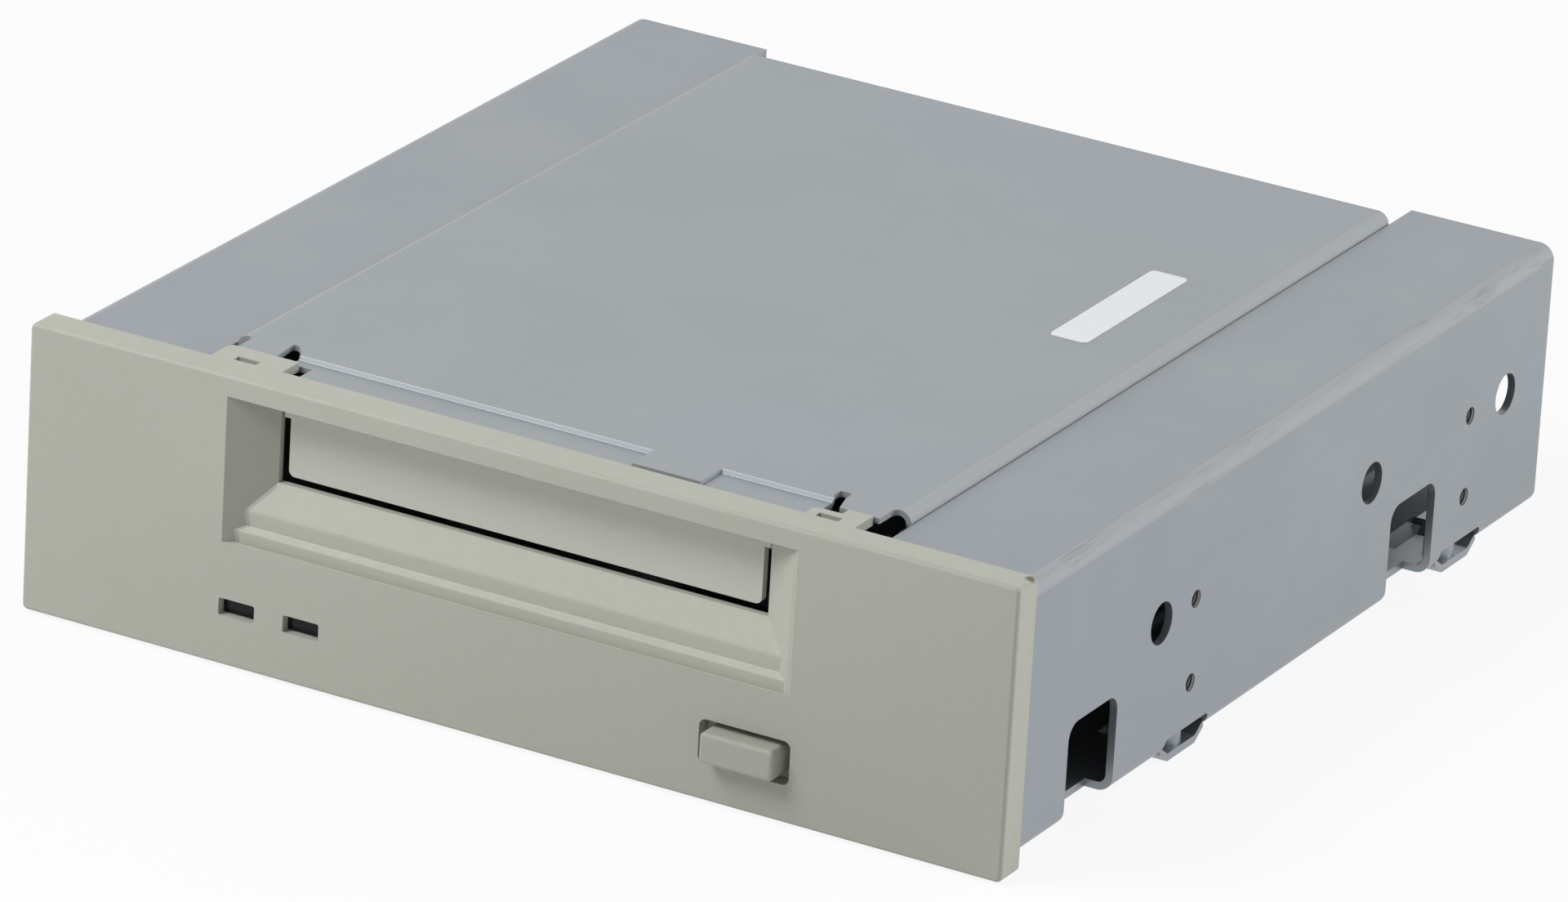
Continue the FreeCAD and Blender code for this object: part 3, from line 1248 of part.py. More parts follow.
def make_reels():
    disc_low = deck_top + s.reel_lift
    disc_top = disc_low + s.reel_disc
    shaft, foot = s.axle_radius, s.deck_low - s.reel_motor_height + s.axle_gap * 5
    for label, side in (("supply_reel_table", -1), ("take_up_reel_table", 1)):
        profile = [(0, foot), (shaft, foot), (shaft, disc_low), (s.reel_radius, disc_low),
                   (s.reel_radius, disc_top), (s.reel_hub + 1, disc_top),
                   (s.reel_hub, disc_top + 1), (s.reel_hub * 0.8, s.reel_top - 2),
                   (shaft, s.reel_top), (0, s.reel_top)]
        body = turned(profile, s.reel_half * side, s.reel_y)
        fin = sketch_at(body, "XY", disc_top)
        reach = s.reel_hub + 0.5
        rectangle(fin, 0, -0.4, reach, 0.4)
        feature = pad(body, fin, (s.reel_top - disc_top) * 0.6)
        fins = body.newObject("PartDesign::PolarPattern", "fins")
        fins.Originals = [feature]
        fins.Axis = (fin, ["N_Axis"])
        fins.Angle = 360
        fins.Occurrences = 3
        body.Tip = fins
        document.recompute()
        mechanism(label, body)
    bore = shaft + s.axle_gap
    low, top = s.deck_low - s.reel_motor_height, s.deck_low
    rims = [turned([(0, low), (s.reel_motor_radius, low), (s.reel_motor_radius, top),
                    (bore, top), (bore, foot - s.axle_gap * 4), (0, foot - s.axle_gap * 4)],
                   s.reel_half * side, s.reel_y) for side in (-1, 1)]
    mechanism("reel_motors", group(*rims))


def tilt(thing):
    """Leans a sub-part of the drum about X, at the deck's top."""
    thing.Placement.Rotation = FreeCAD.Rotation(FreeCAD.Vector(1, 0, 0), SIZES["drum_tilt"])
    move(thing, 0, s.drum_y, deck_top)
    return thing


def make_drum():
    """A fixed lower drum on a saddle, and the turning upper drum with its head windows."""
    r, stem, bore = s.drum_radius, s.drum_stem, s.drum_bore + s.axle_gap
    low, split, top = s.drum_low - deck_top, s.drum_split - deck_top, s.drum_top - deck_top
    foot, socket = -s.drum_stem_depth, split - s.drum_socket
    lower = turned([(0, foot), (stem, foot), (stem, low), (r, low), (r, split), (bore, split),
                    (bore, socket), (0, socket)])
    rim, hollow = r - s.saddle_inset, stem + s.drum_hole_gap
    roof, ceiling = s.drum_low + s.drum_lean, deck_top + s.deck_thick
    saddle = turned([(hollow, deck_top), (rim, deck_top), (rim, roof), (0, roof),
                     (0, ceiling), (hollow, ceiling)], 0, s.drum_y)
    mechanism("drum_base", fuse(tilt(lower), saddle))
    face = split + s.drum_gap
    shaft = s.drum_bore
    upper = turned([(0, socket + s.axle_gap * 3), (shaft, socket + s.axle_gap * 3),
                    (shaft, face), (r, face), (r, top - 0.5), (r - 0.5, top), (r * 0.6, top),
                    (r * 0.55, top - 0.8), (shaft * 1.2, top - 0.8), (shaft, top),
                    (0, top)])
    window = sketch_at(upper, "XY", face)
    for side in (-1, 1):
        outline(window, mirrored([
            (r - s.head_depth, -s.head_width / 2), (r + 1, -s.head_width / 2),
            (r + 1, s.head_width / 2), (r - s.head_depth, s.head_width / 2)], side))
    pocket(upper, window, s.head_depth)
    mechanism("head_drum", tilt(upper))


def make_capstan():
    low, top = s.deck_low - s.capstan_motor_height, s.deck_low
    foot = low + s.axle_gap * 10
    bore, bearing = s.capstan_radius + s.axle_gap, s.capstan_bearing
    motor = turned([(0, low), (s.capstan_motor_radius, low), (s.capstan_motor_radius, top),
                    (bearing, top), (bearing, s.capstan_bearing_top),
                    (bore, s.capstan_bearing_top), (bore, foot - s.axle_gap * 3),
                    (0, foot - s.axle_gap * 3)], s.capstan_x, s.capstan_y)
    mechanism("capstan_motor", motor)
    mechanism("capstan", rod(s.capstan_x, s.capstan_y, foot, s.capstan_radius,
                             s.capstan_top - foot))


def pinch_geometry():
    """The arm's length and its angle at rest, from where the roller meets the capstan."""
    gap = number(s.capstan_radius + s.pinch_radius + s.pinch_touch)
    across = number(s.capstan_x - s.pinch_pivot_x)
    back = number(s.capstan_y - s.pinch_pivot_y) - gap
    angle = math.degrees(math.atan2(back, across)) + SIZES["pinch_open"]
    return math.hypot(across, back), angle


def make_pinch_arm():
    """A pivoted arm that carries the rubber pinch roller on its own pin."""
    length, angle = pinch_geometry()
    body = new_body("pinch_arm")
    plan = sketch_at(body, "XY", s.arm_low)
    outline(plan, [(-s.arm_radius, -s.arm_radius, s.arm_radius * 0.9),
                   (length + s.arm_radius * 0.8, -s.arm_radius * 0.7, s.arm_radius * 0.6),
                   (length + s.arm_radius * 0.8, s.arm_radius * 0.7, s.arm_radius * 0.6),
                   (-s.arm_radius, s.arm_radius, s.arm_radius * 0.9)])
    pad(body, plan, s.arm_thick)
    hub = sketch_at(body, "XY", s.arm_low)
    circle(hub, 0, 0, s.arm_radius * 0.8)
    pad(body, hub, s.arm_thick * 2)
    bore = sketch_at(body, "XY", s.arm_low - 1)
    circle(bore, 0, 0, s.axle_radius + s.axle_gap)
    pocket(body, bore, s.arm_thick * 2 + 2)
    pin = sketch_at(body, "XY", s.arm_low)
    circle(pin, length, 0, s.motor_shaft)
    pad(body, pin, s.pinch_high + 0.6 - s.arm_low)
    body.Placement.Rotation = FreeCAD.Rotation(FreeCAD.Vector(0, 0, 1), angle)
    move(body, s.pinch_pivot_x, s.pinch_pivot_y)
    mechanism("pinch_arm", body)
    bore_r = s.motor_shaft + s.axle_gap
    turn = math.radians(angle)
    low, high, r = s.pinch_low, s.pinch_high, s.pinch_radius
    roller = turned([(bore_r, low), (r * 0.7, low), (r * 0.7, low + 0.6), (r, low + 0.6),
                     (r, high - 0.6), (r * 0.7, high - 0.6), (r * 0.7, high), (bore_r, high)],
                    s.pinch_pivot_x + length * math.cos(turn),
                    s.pinch_pivot_y + length * math.sin(turn))
    mechanism("pinch_roller", roller)


def flanged_post(x, y, low):
    """A tape guide: a smooth post between two flanges on a foot."""
    r, flange, top = s.guide_post_radius, s.guide_flange, s.post_top
    middle = (s.pinch_low + s.pinch_high) / 2
    half = s.tape_width / 2 + s.axle_gap
    return turned([(0, low), (flange, low), (flange, middle - half - 1.2),
                   (r, middle - half - 0.8), (flange, middle - half - 0.4),
                   (flange, middle - half), (r, middle - half), (r, middle + half),
                   (flange, middle + half), (flange, middle + half + 0.8), (r, top),
                   (0, top)], x, y)


def make_tape_guides():
    posts = [flanged_post(x * side, y, deck_top)
             for side in (-1, 1) for x, y in ((s.post_one_x, s.post_one_y),
                                              (s.post_two_x, s.post_two_y))]
    mechanism("guide_posts", group(*posts))
    for label, side in (("threading_guide_left", -1), ("threading_guide_right", 1)):
        start, end = track_ends(side)
        slot_half = s.track_width / 2 - s.track_gap
        low = deck_top + s.track_gap
        shoe = rod(*start, low, s.carriage_radius, s.carriage_thick)
        keel = rod(*start, s.deck_low - s.track_gap * 2, slot_half,
                   s.deck_thick + s.track_gap * 4)
        washer = rod(*start, s.deck_low - s.track_gap - s.keel_washer, s.track_width * 0.9,
                     s.keel_washer)
        post = flanged_post(*start, low + s.carriage_thick / 2)
        mechanism(label, fuse(shoe, keel, washer, post))


# ---- cassette door ---------------------------------------------------------------------------

def make_door():
    """A flap that hangs behind the recess: a narrow panel below a wider hinge band."""
    body = new_body("cassette_door")
    left, right = s.door_band_gap - s.slot_left, s.slot_right - s.door_band_gap
    inset = s.door_side_gap - s.door_band_gap
    low = s.slot_low + s.door_low_gap
    spring_start = right - s.door_spring_length
    spring_room = s.hinge_z - s.hinge_pin * 2 - s.spring_wire
    face = sketch_at(body, "XZ", -s.door_face)
    outline(face, [(left + inset, low, s.door_corner), (right - inset, low, s.door_corner),
                   (right - inset, s.door_band_low), (right, s.door_band_low),
                   (right, spring_room), (spring_start, spring_room), (spring_start, s.hinge_z),
                   (left, s.hinge_z), (left, s.door_band_low),
                   (left + inset, s.door_band_low)])
    pad(body, face, s.door_thick)
    barrel = sketch_at(body, "YZ", left)
    circle(barrel, s.hinge_y, s.hinge_z, s.hinge_radius)
    pad(body, barrel, spring_start - left)
    bore = sketch_at(body, "YZ", left - 1)
    circle(bore, s.hinge_y, s.hinge_z, s.hinge_pin + s.hinge_gap)
    pocket(body, bore, spring_start - left + 2)
    node("cassette_door", body)
    reach = s.hinge_boss - s.holder_gap
    node("door_hinge_pin", rod(-s.slot_left - reach, s.hinge_y, s.hinge_z, s.hinge_pin,
                               s.slot_left + s.slot_right + reach * 2, "X"))
    inner = s.hinge_pin + s.hinge_gap
    wire = s.spring_wire * 2
    turns = []
    for k in range(4):
        ring = turned([(inner, 0), (inner + wire, 0), (inner + wire, wire), (inner, wire)])
        ring.Placement.Rotation = FreeCAD.Rotation(FreeCAD.Vector(0, 1, 0), 90)
        move(ring, right - s.door_spring_length / 2 + wire * (k - 2), s.hinge_y, s.hinge_z)
        turns.append(ring)
    node("door_spring", group(*turns))


def check_and_export():
    document.recompute()
    faults = [item.Name for item in document.Objects
              if "Invalid" in item.State or "Error" in item.State]
    for label, thing in nodes.items():
        if thing.Shape.isNull() or not thing.Shape.isValid():
            faults.append(label)
    if faults:
        raise RuntimeError("failed: " + ", ".join(faults))
    os.makedirs("parts", exist_ok=True)
    for label, thing in nodes.items():
        thing.Shape.exportStep(f"parts/{label}.step")
        box = thing.Shape.BoundBox
        print(f"{label:24s} solids {len(thing.Shape.Solids):3d}  volume {thing.Shape.Volume:10.2f}"
              f"  x {box.XMin:7.2f}..{box.XMax:7.2f}  y {box.YMin:7.2f}..{box.YMax:7.2f}"
              f"  z {box.ZMin:6.2f}..{box.ZMax:6.2f}")


def main():
    make_bezel()
    make_lenses()
    make_eject_button()
    make_front_board()
    make_bracket("bracket_left", -1)
    make_bracket("bracket_right", 1)
    make_cover()
    make_base_pan()
    make_bracket_screws()
    make_main_board()
    make_bus_connector()
    make_power_connector()
    make_deck()
    make_posts_and_screws()
    make_holder()
    for side, name in ((-1, "left"), (1, "right")):
        make_guide_plate("guide_plate_" + name, side)
        make_cam_plate("cam_plate_" + name, side)
    make_yoke()
    make_gears()
    make_reels()
    make_drum()
    make_capstan()
    make_pinch_arm()
    make_tape_guides()
    make_door()
    check_and_export()


main()
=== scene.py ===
"""Looks of a cartridge tape drive in side brackets: finishes, small fittings and a plain studio.

Every size is in metres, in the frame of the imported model: +X to the right seen from the bezel,
+Y from the bezel to the connectors and +Z up. Colours are linear shares of red, green and blue.
"""

import json
import math

import bmesh
import bpy
from bpy.props import FloatProperty, FloatVectorProperty, PointerProperty
from mathutils import Matrix, Vector


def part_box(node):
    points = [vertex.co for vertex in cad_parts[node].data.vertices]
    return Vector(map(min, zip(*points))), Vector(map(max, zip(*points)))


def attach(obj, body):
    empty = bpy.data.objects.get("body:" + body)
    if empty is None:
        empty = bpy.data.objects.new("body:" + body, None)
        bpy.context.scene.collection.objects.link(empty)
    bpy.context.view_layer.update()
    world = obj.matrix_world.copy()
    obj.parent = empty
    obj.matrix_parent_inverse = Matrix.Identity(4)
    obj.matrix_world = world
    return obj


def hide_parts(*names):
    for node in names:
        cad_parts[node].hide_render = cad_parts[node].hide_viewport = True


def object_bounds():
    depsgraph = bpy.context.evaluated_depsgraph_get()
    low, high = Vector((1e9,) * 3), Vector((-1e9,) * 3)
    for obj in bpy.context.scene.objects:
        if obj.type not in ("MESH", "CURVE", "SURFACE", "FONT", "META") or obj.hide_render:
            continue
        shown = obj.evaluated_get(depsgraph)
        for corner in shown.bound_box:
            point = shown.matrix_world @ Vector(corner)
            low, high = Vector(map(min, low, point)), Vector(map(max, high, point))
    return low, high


bl_info = {
    "name": "Tape Drive Looks",
    "version": (1, 0, 0),
    "blender": (4, 5, 0),
    "location": "3D View > Sidebar > Tape Drive",
    "description": "Dresses the packed tape drive with finishes and small fittings",
    "category": "Object",
}

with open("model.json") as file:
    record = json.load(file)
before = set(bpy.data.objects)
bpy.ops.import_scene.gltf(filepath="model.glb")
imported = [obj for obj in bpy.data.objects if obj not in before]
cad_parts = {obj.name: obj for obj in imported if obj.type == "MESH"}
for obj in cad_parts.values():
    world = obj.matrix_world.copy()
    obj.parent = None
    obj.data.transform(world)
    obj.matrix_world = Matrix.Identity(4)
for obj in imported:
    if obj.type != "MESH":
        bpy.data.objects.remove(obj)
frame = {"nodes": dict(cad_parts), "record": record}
NODES = frame["nodes"]
CAD_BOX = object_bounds()
MM = 0.001

BEZEL_LOW, BEZEL_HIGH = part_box("bezel")
COVER_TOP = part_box("top_cover")[1].z

# the flared left wall of the cassette recess, from the front face to the slot, which gets painted
# shade
RECESS_WALL = ((-43.5 * MM, BEZEL_LOW.y, 17.8 * MM),
               (-37.5 * MM, BEZEL_LOW.y + 3.83 * MM, 38.3 * MM))
# the corner of the bezel where the moulding was cut from its runner
GATE_MARK = (BEZEL_HIGH.x - 0.6 * MM, BEZEL_LOW.y + 3.9 * MM, BEZEL_HIGH.z)
# depth of the finest grain on metal and paper
FINE_GRAIN = 0.004 * MM
# size of the clouds in the plating of the cover and of the small sheets inside
COVER_CLOUDS = 42 * MM
DECK_CLOUDS = 20 * MM
# the cover's front strips lie this far below its top
STRIP_DROP = 0.5 * MM
# a screw head's outline from its flat top to its seat, as shares of its radius and thickness
HEAD_CURVE = ((0.9, 0.9), (0.98, 0.7), (1.0, 0.4), (1.0, 0.0))
HEAD_FLAT = 0.74
ROUND_SIDES = 24
# the point that the lamps face
LAMP_TARGET = Vector((0.0, 0.0, 20 * MM))

# name, colour, roughness and nodes of the pieces in plain metal
PIN_METALS = (
    ("gold_pin", (0.80, 0.58, 0.24), 0.25, ["bus_pins"]),
    ("tinned_pin", (0.72, 0.71, 0.68), 0.3, ["power_pins"]),
)
MECHANISM_METALS = (
    ("motor_can", (0.42, 0.43, 0.44), 0.34, ["loading_motor", "reel_motors", "capstan_motor"]),
    ("drum_aluminium", (0.70, 0.70, 0.70), 0.22, ["drum_base", "head_drum"]),
    ("ground_steel", (0.62, 0.62, 0.62), 0.16,
     ["guide_posts", "capstan", "threading_guide_left", "threading_guide_right", "holder_pins",
      "door_hinge_pin", "door_spring"]),
    ("post_brass", (0.72, 0.54, 0.27), 0.3, ["deck_posts"]),
    ("screw_steel", (0.50, 0.50, 0.48), 0.32,
     ["board_screws", "deck_screws", "front_board_screws"]),
)


# ---- settings ------------------------------------------------------------------------------

def colour(name, text, rgb):
    """A colour setting; rgb is given on the usual 0 to 255 screen scale."""
    return FloatVectorProperty(name=name, description=text, subtype="COLOR", size=3,
                               min=0.0, max=1.0, default=[linear(v / 255) for v in rgb])


def linear(value):
    """The linear value of one screen colour channel."""
    return value / 12.92 if value <= 0.04045 else ((value + 0.055) / 1.055) ** 2.4


def length(name, text, default):
    return FloatProperty(name=name, description=text, subtype="DISTANCE", unit="LENGTH",
                         min=0.0, default=default)


def share(name, text, default):
    return FloatProperty(name=name, description=text, subtype="FACTOR", min=0.0, max=1.0,
                         default=default)


class FinishSettings(bpy.types.PropertyGroup):
    """Colours and gloss of the drive's materials."""

    bezel: colour("Bezel", "Grey-beige moulding of the bezel, door and button", (184, 186, 175))
    bezel_gloss: share("Bezel roughness", "Roughness of the moulded face", 0.55)
    steel: colour("Brackets", "Zinc-plated sheet of the side brackets", (149, 155, 160))
    cover: colour("Cover", "Plated sheet of the cover and base pan", (152, 158, 162))
    steel_gloss: share("Steel roughness", "Roughness of the plated sheet", 0.42)
    label: colour("Label", "Blank paper label on the cover", (235, 239, 242))
    holder: colour("Holder", "Dark plated sheet of the cassette holder", (74, 80, 96))
    board: colour("Circuit board", "Solder mask of the boards", (34, 78, 48))
    black: colour("Black plastic", "Connectors, chips and switches", (30, 30, 32))
    acetal: colour("Acetal", "Gears and reel tables", (226, 224, 214))


class FittingSettings(bpy.types.PropertyGroup):
    """Sizes of the small fittings that are modelled here."""

    label_length: length("Label length", "Length of the label along the drive", 29.2 * MM)
    label_width: length("Label width", "Width of the label across the drive", 5.6 * MM)
    label_thick: length("Label thickness", "Thickness of the label", 0.12 * MM)
    label_corner: length("Label corner", "Radius of the label's corners", 0.8 * MM)
    label_side: length("Label from edge", "From the cover's right edge to the label", 10.2 * MM)
    label_front: length("Label from front", "From the cover's front edge to the label", 73.7 * MM)
    screw_head: length("Screw head", "Radius of a bracket screw's head", 2.6 * MM)
    screw_thick: length("Screw thickness", "Thickness of a bracket screw's head", 1.6 * MM)
    screw_shank: length("Screw shank", "Radius of a bracket screw's shank", 1.4 * MM)
    screw_run: length("Screw length", "Length of a bracket screw below its head", 3.0 * MM)
    screw_step: length("Screw step", "From a bracket's first screw to its second", 59.6 * MM)
    recess_width: length("Driver slot", "Width of the cross recess in a screw head", 0.7 * MM)
    recess_reach: length("Driver reach", "Half the length of the cross recess", 1.5 * MM)
    recess_depth: length("Driver depth", "Depth of the cross recess", 1.0 * MM)
    thread_pitch: length("Thread pitch", "Pitch of the threads in the tapped holes", 0.5 * MM)
    thread_depth: length("Thread depth", "Height of the threads in the holes", 0.12 * MM)
    thread_run: length("Thread length", "Length of the threads in a tapped hole", 1.9 * MM)
    thread_inset: length("Thread inset", "From a hole's mouth to its first thread", 0.12 * MM)
    thread_outer: length("Thread radius", "Outer radius of the threads in a hole", 1.243 * MM)


class StudioSettings(bpy.types.PropertyGroup):
    """Camera and light."""

    azimuth: FloatProperty(name="Azimuth", description="Turn of the camera to the right",
                           subtype="ANGLE", default=math.radians(28.53))
    elevation: FloatProperty(name="Elevation", description="Height of the camera as an angle",
                             subtype="ANGLE", default=math.radians(22.09))
    roll: FloatProperty(name="Roll", description="Lean of the camera about its own axis",
                        subtype="ANGLE", default=math.radians(3.343))
    lens: FloatProperty(name="Lens", description="Focal length of the camera", unit="CAMERA",
                        default=272.82)
    place: FloatVectorProperty(name="Place", description="Where the camera stands",
                               subtype="TRANSLATION", unit="LENGTH", size=3,
                               default=(0.7051, -1.3007, 0.6170))
    sky: FloatProperty(name="Sky", description="Strength of the light from all round",
                       default=0.28, min=0.0)
    key: FloatProperty(name="Key lamp", description="Power of the lamp above the left front",
                       unit="POWER", default=7.2, min=0.0)
    key_size: length("Key size", "Width of the lamp above the left front", 0.45)
    key_place: FloatVectorProperty(name="Key place", description="Where the key lamp hangs",
                                   subtype="TRANSLATION", unit="LENGTH", size=3,
                                   default=(-0.46, -0.53, 0.80))
    rim: FloatProperty(name="Rim lamp", description="Power of the lamp behind the right side",
                       unit="POWER", default=10.0, min=0.0)
    rim_size: length("Rim size", "Width of the lamp behind the right side", 0.7)
    rim_place: FloatVectorProperty(name="Rim place", description="Where the rim lamp hangs",
                                   subtype="TRANSLATION", unit="LENGTH", size=3,
                                   default=(1.2, 0.7, 0.5))
    floor_glow: share("Floor white", "How white the floor looks where it is seen", 0.9)


class DriveSettings(bpy.types.PropertyGroup):
    """All settings of the tape drive's looks."""

    finish: PointerProperty(type=FinishSettings)
    fitting: PointerProperty(type=FittingSettings)
    studio: PointerProperty(type=StudioSettings)


def settings():
    return bpy.context.scene.tape_drive


# ---- material helpers ----------------------------------------------------------------------

class Nodes:
    """A node tree with a few short ways to add to it."""

    def __init__(self, tree):
        self.tree = tree

    def add(self, kind, **values):
        node = self.tree.nodes.new(kind)
        for key, value in values.items():
            setattr(node, key, value)
        return node

    def link(self, source, target):
        self.tree.links.new(source, target)

    def maths(self, operation, *values):
        """Works on one or two values, each an output or a number."""
        node = self.add("ShaderNodeMath", operation=operation)
        for value, target in zip(values, node.inputs):
            if isinstance(value, float):
                target.default_value = value
            else:
                self.link(value, target)
        return node.outputs["Value"]

    def product(self, first, second):
        return self.maths("MULTIPLY", first, second)

    def either(self, first, *others):
        """The greatest of some factors."""
        for other in others:
            first = self.maths("MAXIMUM", first, other)
        return first

    def seen(self):
        """A factor that is 1 where a thing is seen straight, mirrored or through clear things."""
        rays = self.add("ShaderNodeLightPath").outputs
        return self.either(rays["Is Camera Ray"], rays["Is Glossy Ray"],
                           rays["Is Transmission Ray"])

    def mixed(self, factor, first, second):
        """Mixes two shaders by a factor."""
        mix = self.add("ShaderNodeMixShader")
        self.link(factor, mix.inputs["Fac"])
        self.link(first, mix.inputs[1])
        self.link(second, mix.inputs[2])
        return mix.outputs["Shader"]


class Shade(Nodes):
    """A material under construction, with patterns that follow the Object coordinates."""

    def __init__(self, name, rgb, roughness=0.5, metallic=0.0, specular=0.5):
        self.material = bpy.data.materials.new(name)
        self.material.use_nodes = True
        super().__init__(self.material.node_tree)
        self.surface = self.tree.nodes["Principled BSDF"]
        self.rgb = tuple(rgb)
        self.surface.inputs["Base Color"].default_value = (*rgb, 1.0)
        self.surface.inputs["Roughness"].default_value = roughness
        self.surface.inputs["Metallic"].default_value = metallic
        self.surface.inputs["Specular IOR Level"].default_value = specular
        self.place = self.add("ShaderNodeTexCoord").outputs["Object"]

    def stretched(self, scale):
        """Object coordinates scaled differently along each axis."""
        mapping = self.add("ShaderNodeMapping")
        mapping.inputs["Scale"].default_value = scale
        self.link(self.place, mapping.inputs["Vector"])
        return mapping.outputs["Vector"]

    def noise(self, size, detail=2.0, roughness=0.5, stretch=None):
        """A noise whose grains are about size metres across."""
        node = self.add("ShaderNodeTexNoise")
        node.inputs["Scale"].default_value = 1.0 / size
        node.inputs["Detail"].default_value = detail
        node.inputs["Roughness"].default_value = roughness
        self.link(self.stretched(stretch) if stretch else self.place, node.inputs["Vector"])
        return node.outputs["Fac"]

    def smear(self):
        """A factor of long broken streaks along the drive."""
        streak = self.ramp(self.noise(1.1 * MM, 3.0, 0.7, (1.0, 0.07, 1.0)), 0.52, 0.7)
        patch = self.ramp(self.noise(20 * MM, 2.0, 0.5), 0.4, 0.62)
        return self.product(streak, patch)

    def ramp(self, value, low, high, bottom=0.0, top=1.0):
        """Maps a range of a value to another range."""
        node = self.add("ShaderNodeMapRange")
        for name, number in (("From Min", low), ("From Max", high), ("To Min", bottom),
                             ("To Max", top)):
            node.inputs[name].default_value = number
        self.link(value, node.inputs["Value"])
        return node.outputs["Result"]

    def along(self, direction):
        """How far a point lies along a direction."""
        node = self.add("ShaderNodeVectorMath", operation="DOT_PRODUCT")
        node.inputs[1].default_value = direction
        self.link(self.place, node.inputs[0])
        return node.outputs["Value"]

    def level(self, value, middle, half, fade):
        """A factor that is 1 where a value is within half of middle and fades to 0 beyond."""
        off = self.maths("ABSOLUTE", self.maths("SUBTRACT", value, middle))
        return self.ramp(off, half, half + fade, 1.0, 0.0)

    def band(self, axis, low, high):
        """A factor that is 1 between two places along an axis."""
        parts = self.add("ShaderNodeSeparateXYZ")
        self.link(self.place, parts.inputs["Vector"])
        return self.level(parts.outputs[axis], (low + high) / 2, (high - low) / 2, 0.02 * MM)

    def wall(self, start, end, reach):
        """A factor that is 1 within reach of an upright wall between two opposite corners."""
        start, end = Vector(start), Vector(end)
        normal = Vector((end.y - start.y, start.x - end.x, 0.0)).normalized()
        near = self.level(self.along(normal), normal.xy.dot(start.xy), reach, reach * 0.2)
        hair = 0.05 * MM
        tall = self.band("Z", start.z + hair, end.z - hair)
        wide = self.band("X", start.x + hair, end.x - hair)
        return self.product(near, self.product(tall, wide))

    def near(self, place, reach, fade):
        """A factor that is 1 within reach of a point and 0 from fade on."""
        away = self.add("ShaderNodeVectorMath", operation="DISTANCE")
        away.inputs[1].default_value = place
        self.link(self.place, away.inputs[0])
        return self.ramp(away.outputs["Value"], reach, fade, 1.0, 0.0)

    def tint(self, factor, rgb, base=None):
        """Mixes a second colour over the base colour by a factor."""
        mix = self.add("ShaderNodeMix", data_type="RGBA")
        mix.inputs["B"].default_value = (*rgb, 1.0)
        if base is None:
            mix.inputs["A"].default_value = (*self.rgb, 1.0)
        else:
            self.link(base, mix.inputs["A"])
        self.link(factor, mix.inputs["Factor"])
        self.link(mix.outputs["Result"], self.surface.inputs["Base Color"])
        return mix.outputs["Result"]

    def blend_input(self, name, factor, low, high):
        """Takes a surface input from low to high with a factor."""
        self.link(self.ramp(factor, 0.0, 1.0, low, high), self.surface.inputs[name])

    def rough(self, factor, low, high):
        """Roughness that follows a noise between two values."""
        self.link(self.ramp(factor, 0.3, 0.7, low, high), self.surface.inputs["Roughness"])

    def bump(self, height, distance, strength=1.0, after=None):
        """Raises the surface by a height map; bumps can follow one another."""
        node = self.add("ShaderNodeBump")
        node.inputs["Distance"].default_value = distance
        node.inputs["Strength"].default_value = strength
        self.link(height, node.inputs["Height"])
        if after is not None:
            self.link(after, node.inputs["Normal"])
        self.link(node.outputs["Normal"], self.surface.inputs["Normal"])
        return node.outputs["Normal"]


def darker(rgb, share_left):
    return tuple(v * share_left for v in rgb)


def lighter(rgb, share_up):
    return tuple(v + (1.0 - v) * share_up for v in rgb)


def coat(material, *names):
    """Gives CAD nodes or pieces one material."""
    for name in names:
        thing = NODES[name] if name in NODES else bpy.data.objects[name]
        thing.data.materials.clear()
        thing.data.materials.append(material)
        for face in thing.data.polygons:
            face.material_index = 0


def coat_metals(metals):
    """Gives CAD nodes their plain metals from a list of name, colour, roughness and nodes."""
    for name, rgb, roughness, nodes in metals:
        coat(bright_metal(name, rgb, roughness), *nodes)


# ---- finishes ------------------------------------------------------------------------------

def moulded_plastic(finish, name, rgb, marks=None):
    """Grey-beige plastic with a fine spark-eroded grain, a little aged and handled."""
    shade = Shade(name, rgb, finish.bezel_gloss, specular=0.42)
    cloud = shade.noise(22 * MM, 3.0)
    mottle = shade.noise(1.6 * MM, 3.0, 0.6)
    aged = shade.tint(shade.ramp(cloud, 0.35, 0.7, 0.0, 0.35), darker(rgb, 0.93))
    warm = (rgb[0] * 0.97, rgb[1] * 0.96, rgb[2] * 0.88)
    skin = shade.tint(shade.ramp(mottle, 0.45, 0.75, 0.0, 0.3), warm, aged)
    # marks may paint shade as well as real marks on the moulding
    if marks:
        marks(shade, rgb, skin)
    shade.rough(mottle, finish.bezel_gloss - 0.06, finish.bezel_gloss + 0.1)
    coarse = shade.bump(shade.noise(1.1 * MM, 2.0, 0.6), 0.03 * MM, 0.5)
    shade.bump(shade.noise(0.3 * MM, 2.0, 0.7), 0.03 * MM, 0.9, coarse)
    return shade.material


def bezel_shade_and_mark(shade, rgb, skin):
    """Painted shade that darkens the face to its lower right and the recess wall, and the
    moulding's mark.
    """
    # painted shade: the front face is darkened towards its lower right
    shade_low_right = shade.ramp(shade.along((0.5, 0.0, -1.0)), -50 * MM, 20 * MM)
    face = shade.band("Y", BEZEL_LOW.y - MM, BEZEL_LOW.y + 0.6 * MM)
    skin = shade.tint(shade.product(shade_low_right, face), darker(rgb, 0.85), skin)
    # painted shade on the recess's left wall
    skin = shade.tint(shade.wall(*RECESS_WALL, 0.3 * MM), darker(rgb, 0.75), skin)
    shade.tint(shade.near(GATE_MARK, 0.4 * MM, 0.9 * MM), (0.16, 0.13, 0.10), skin)


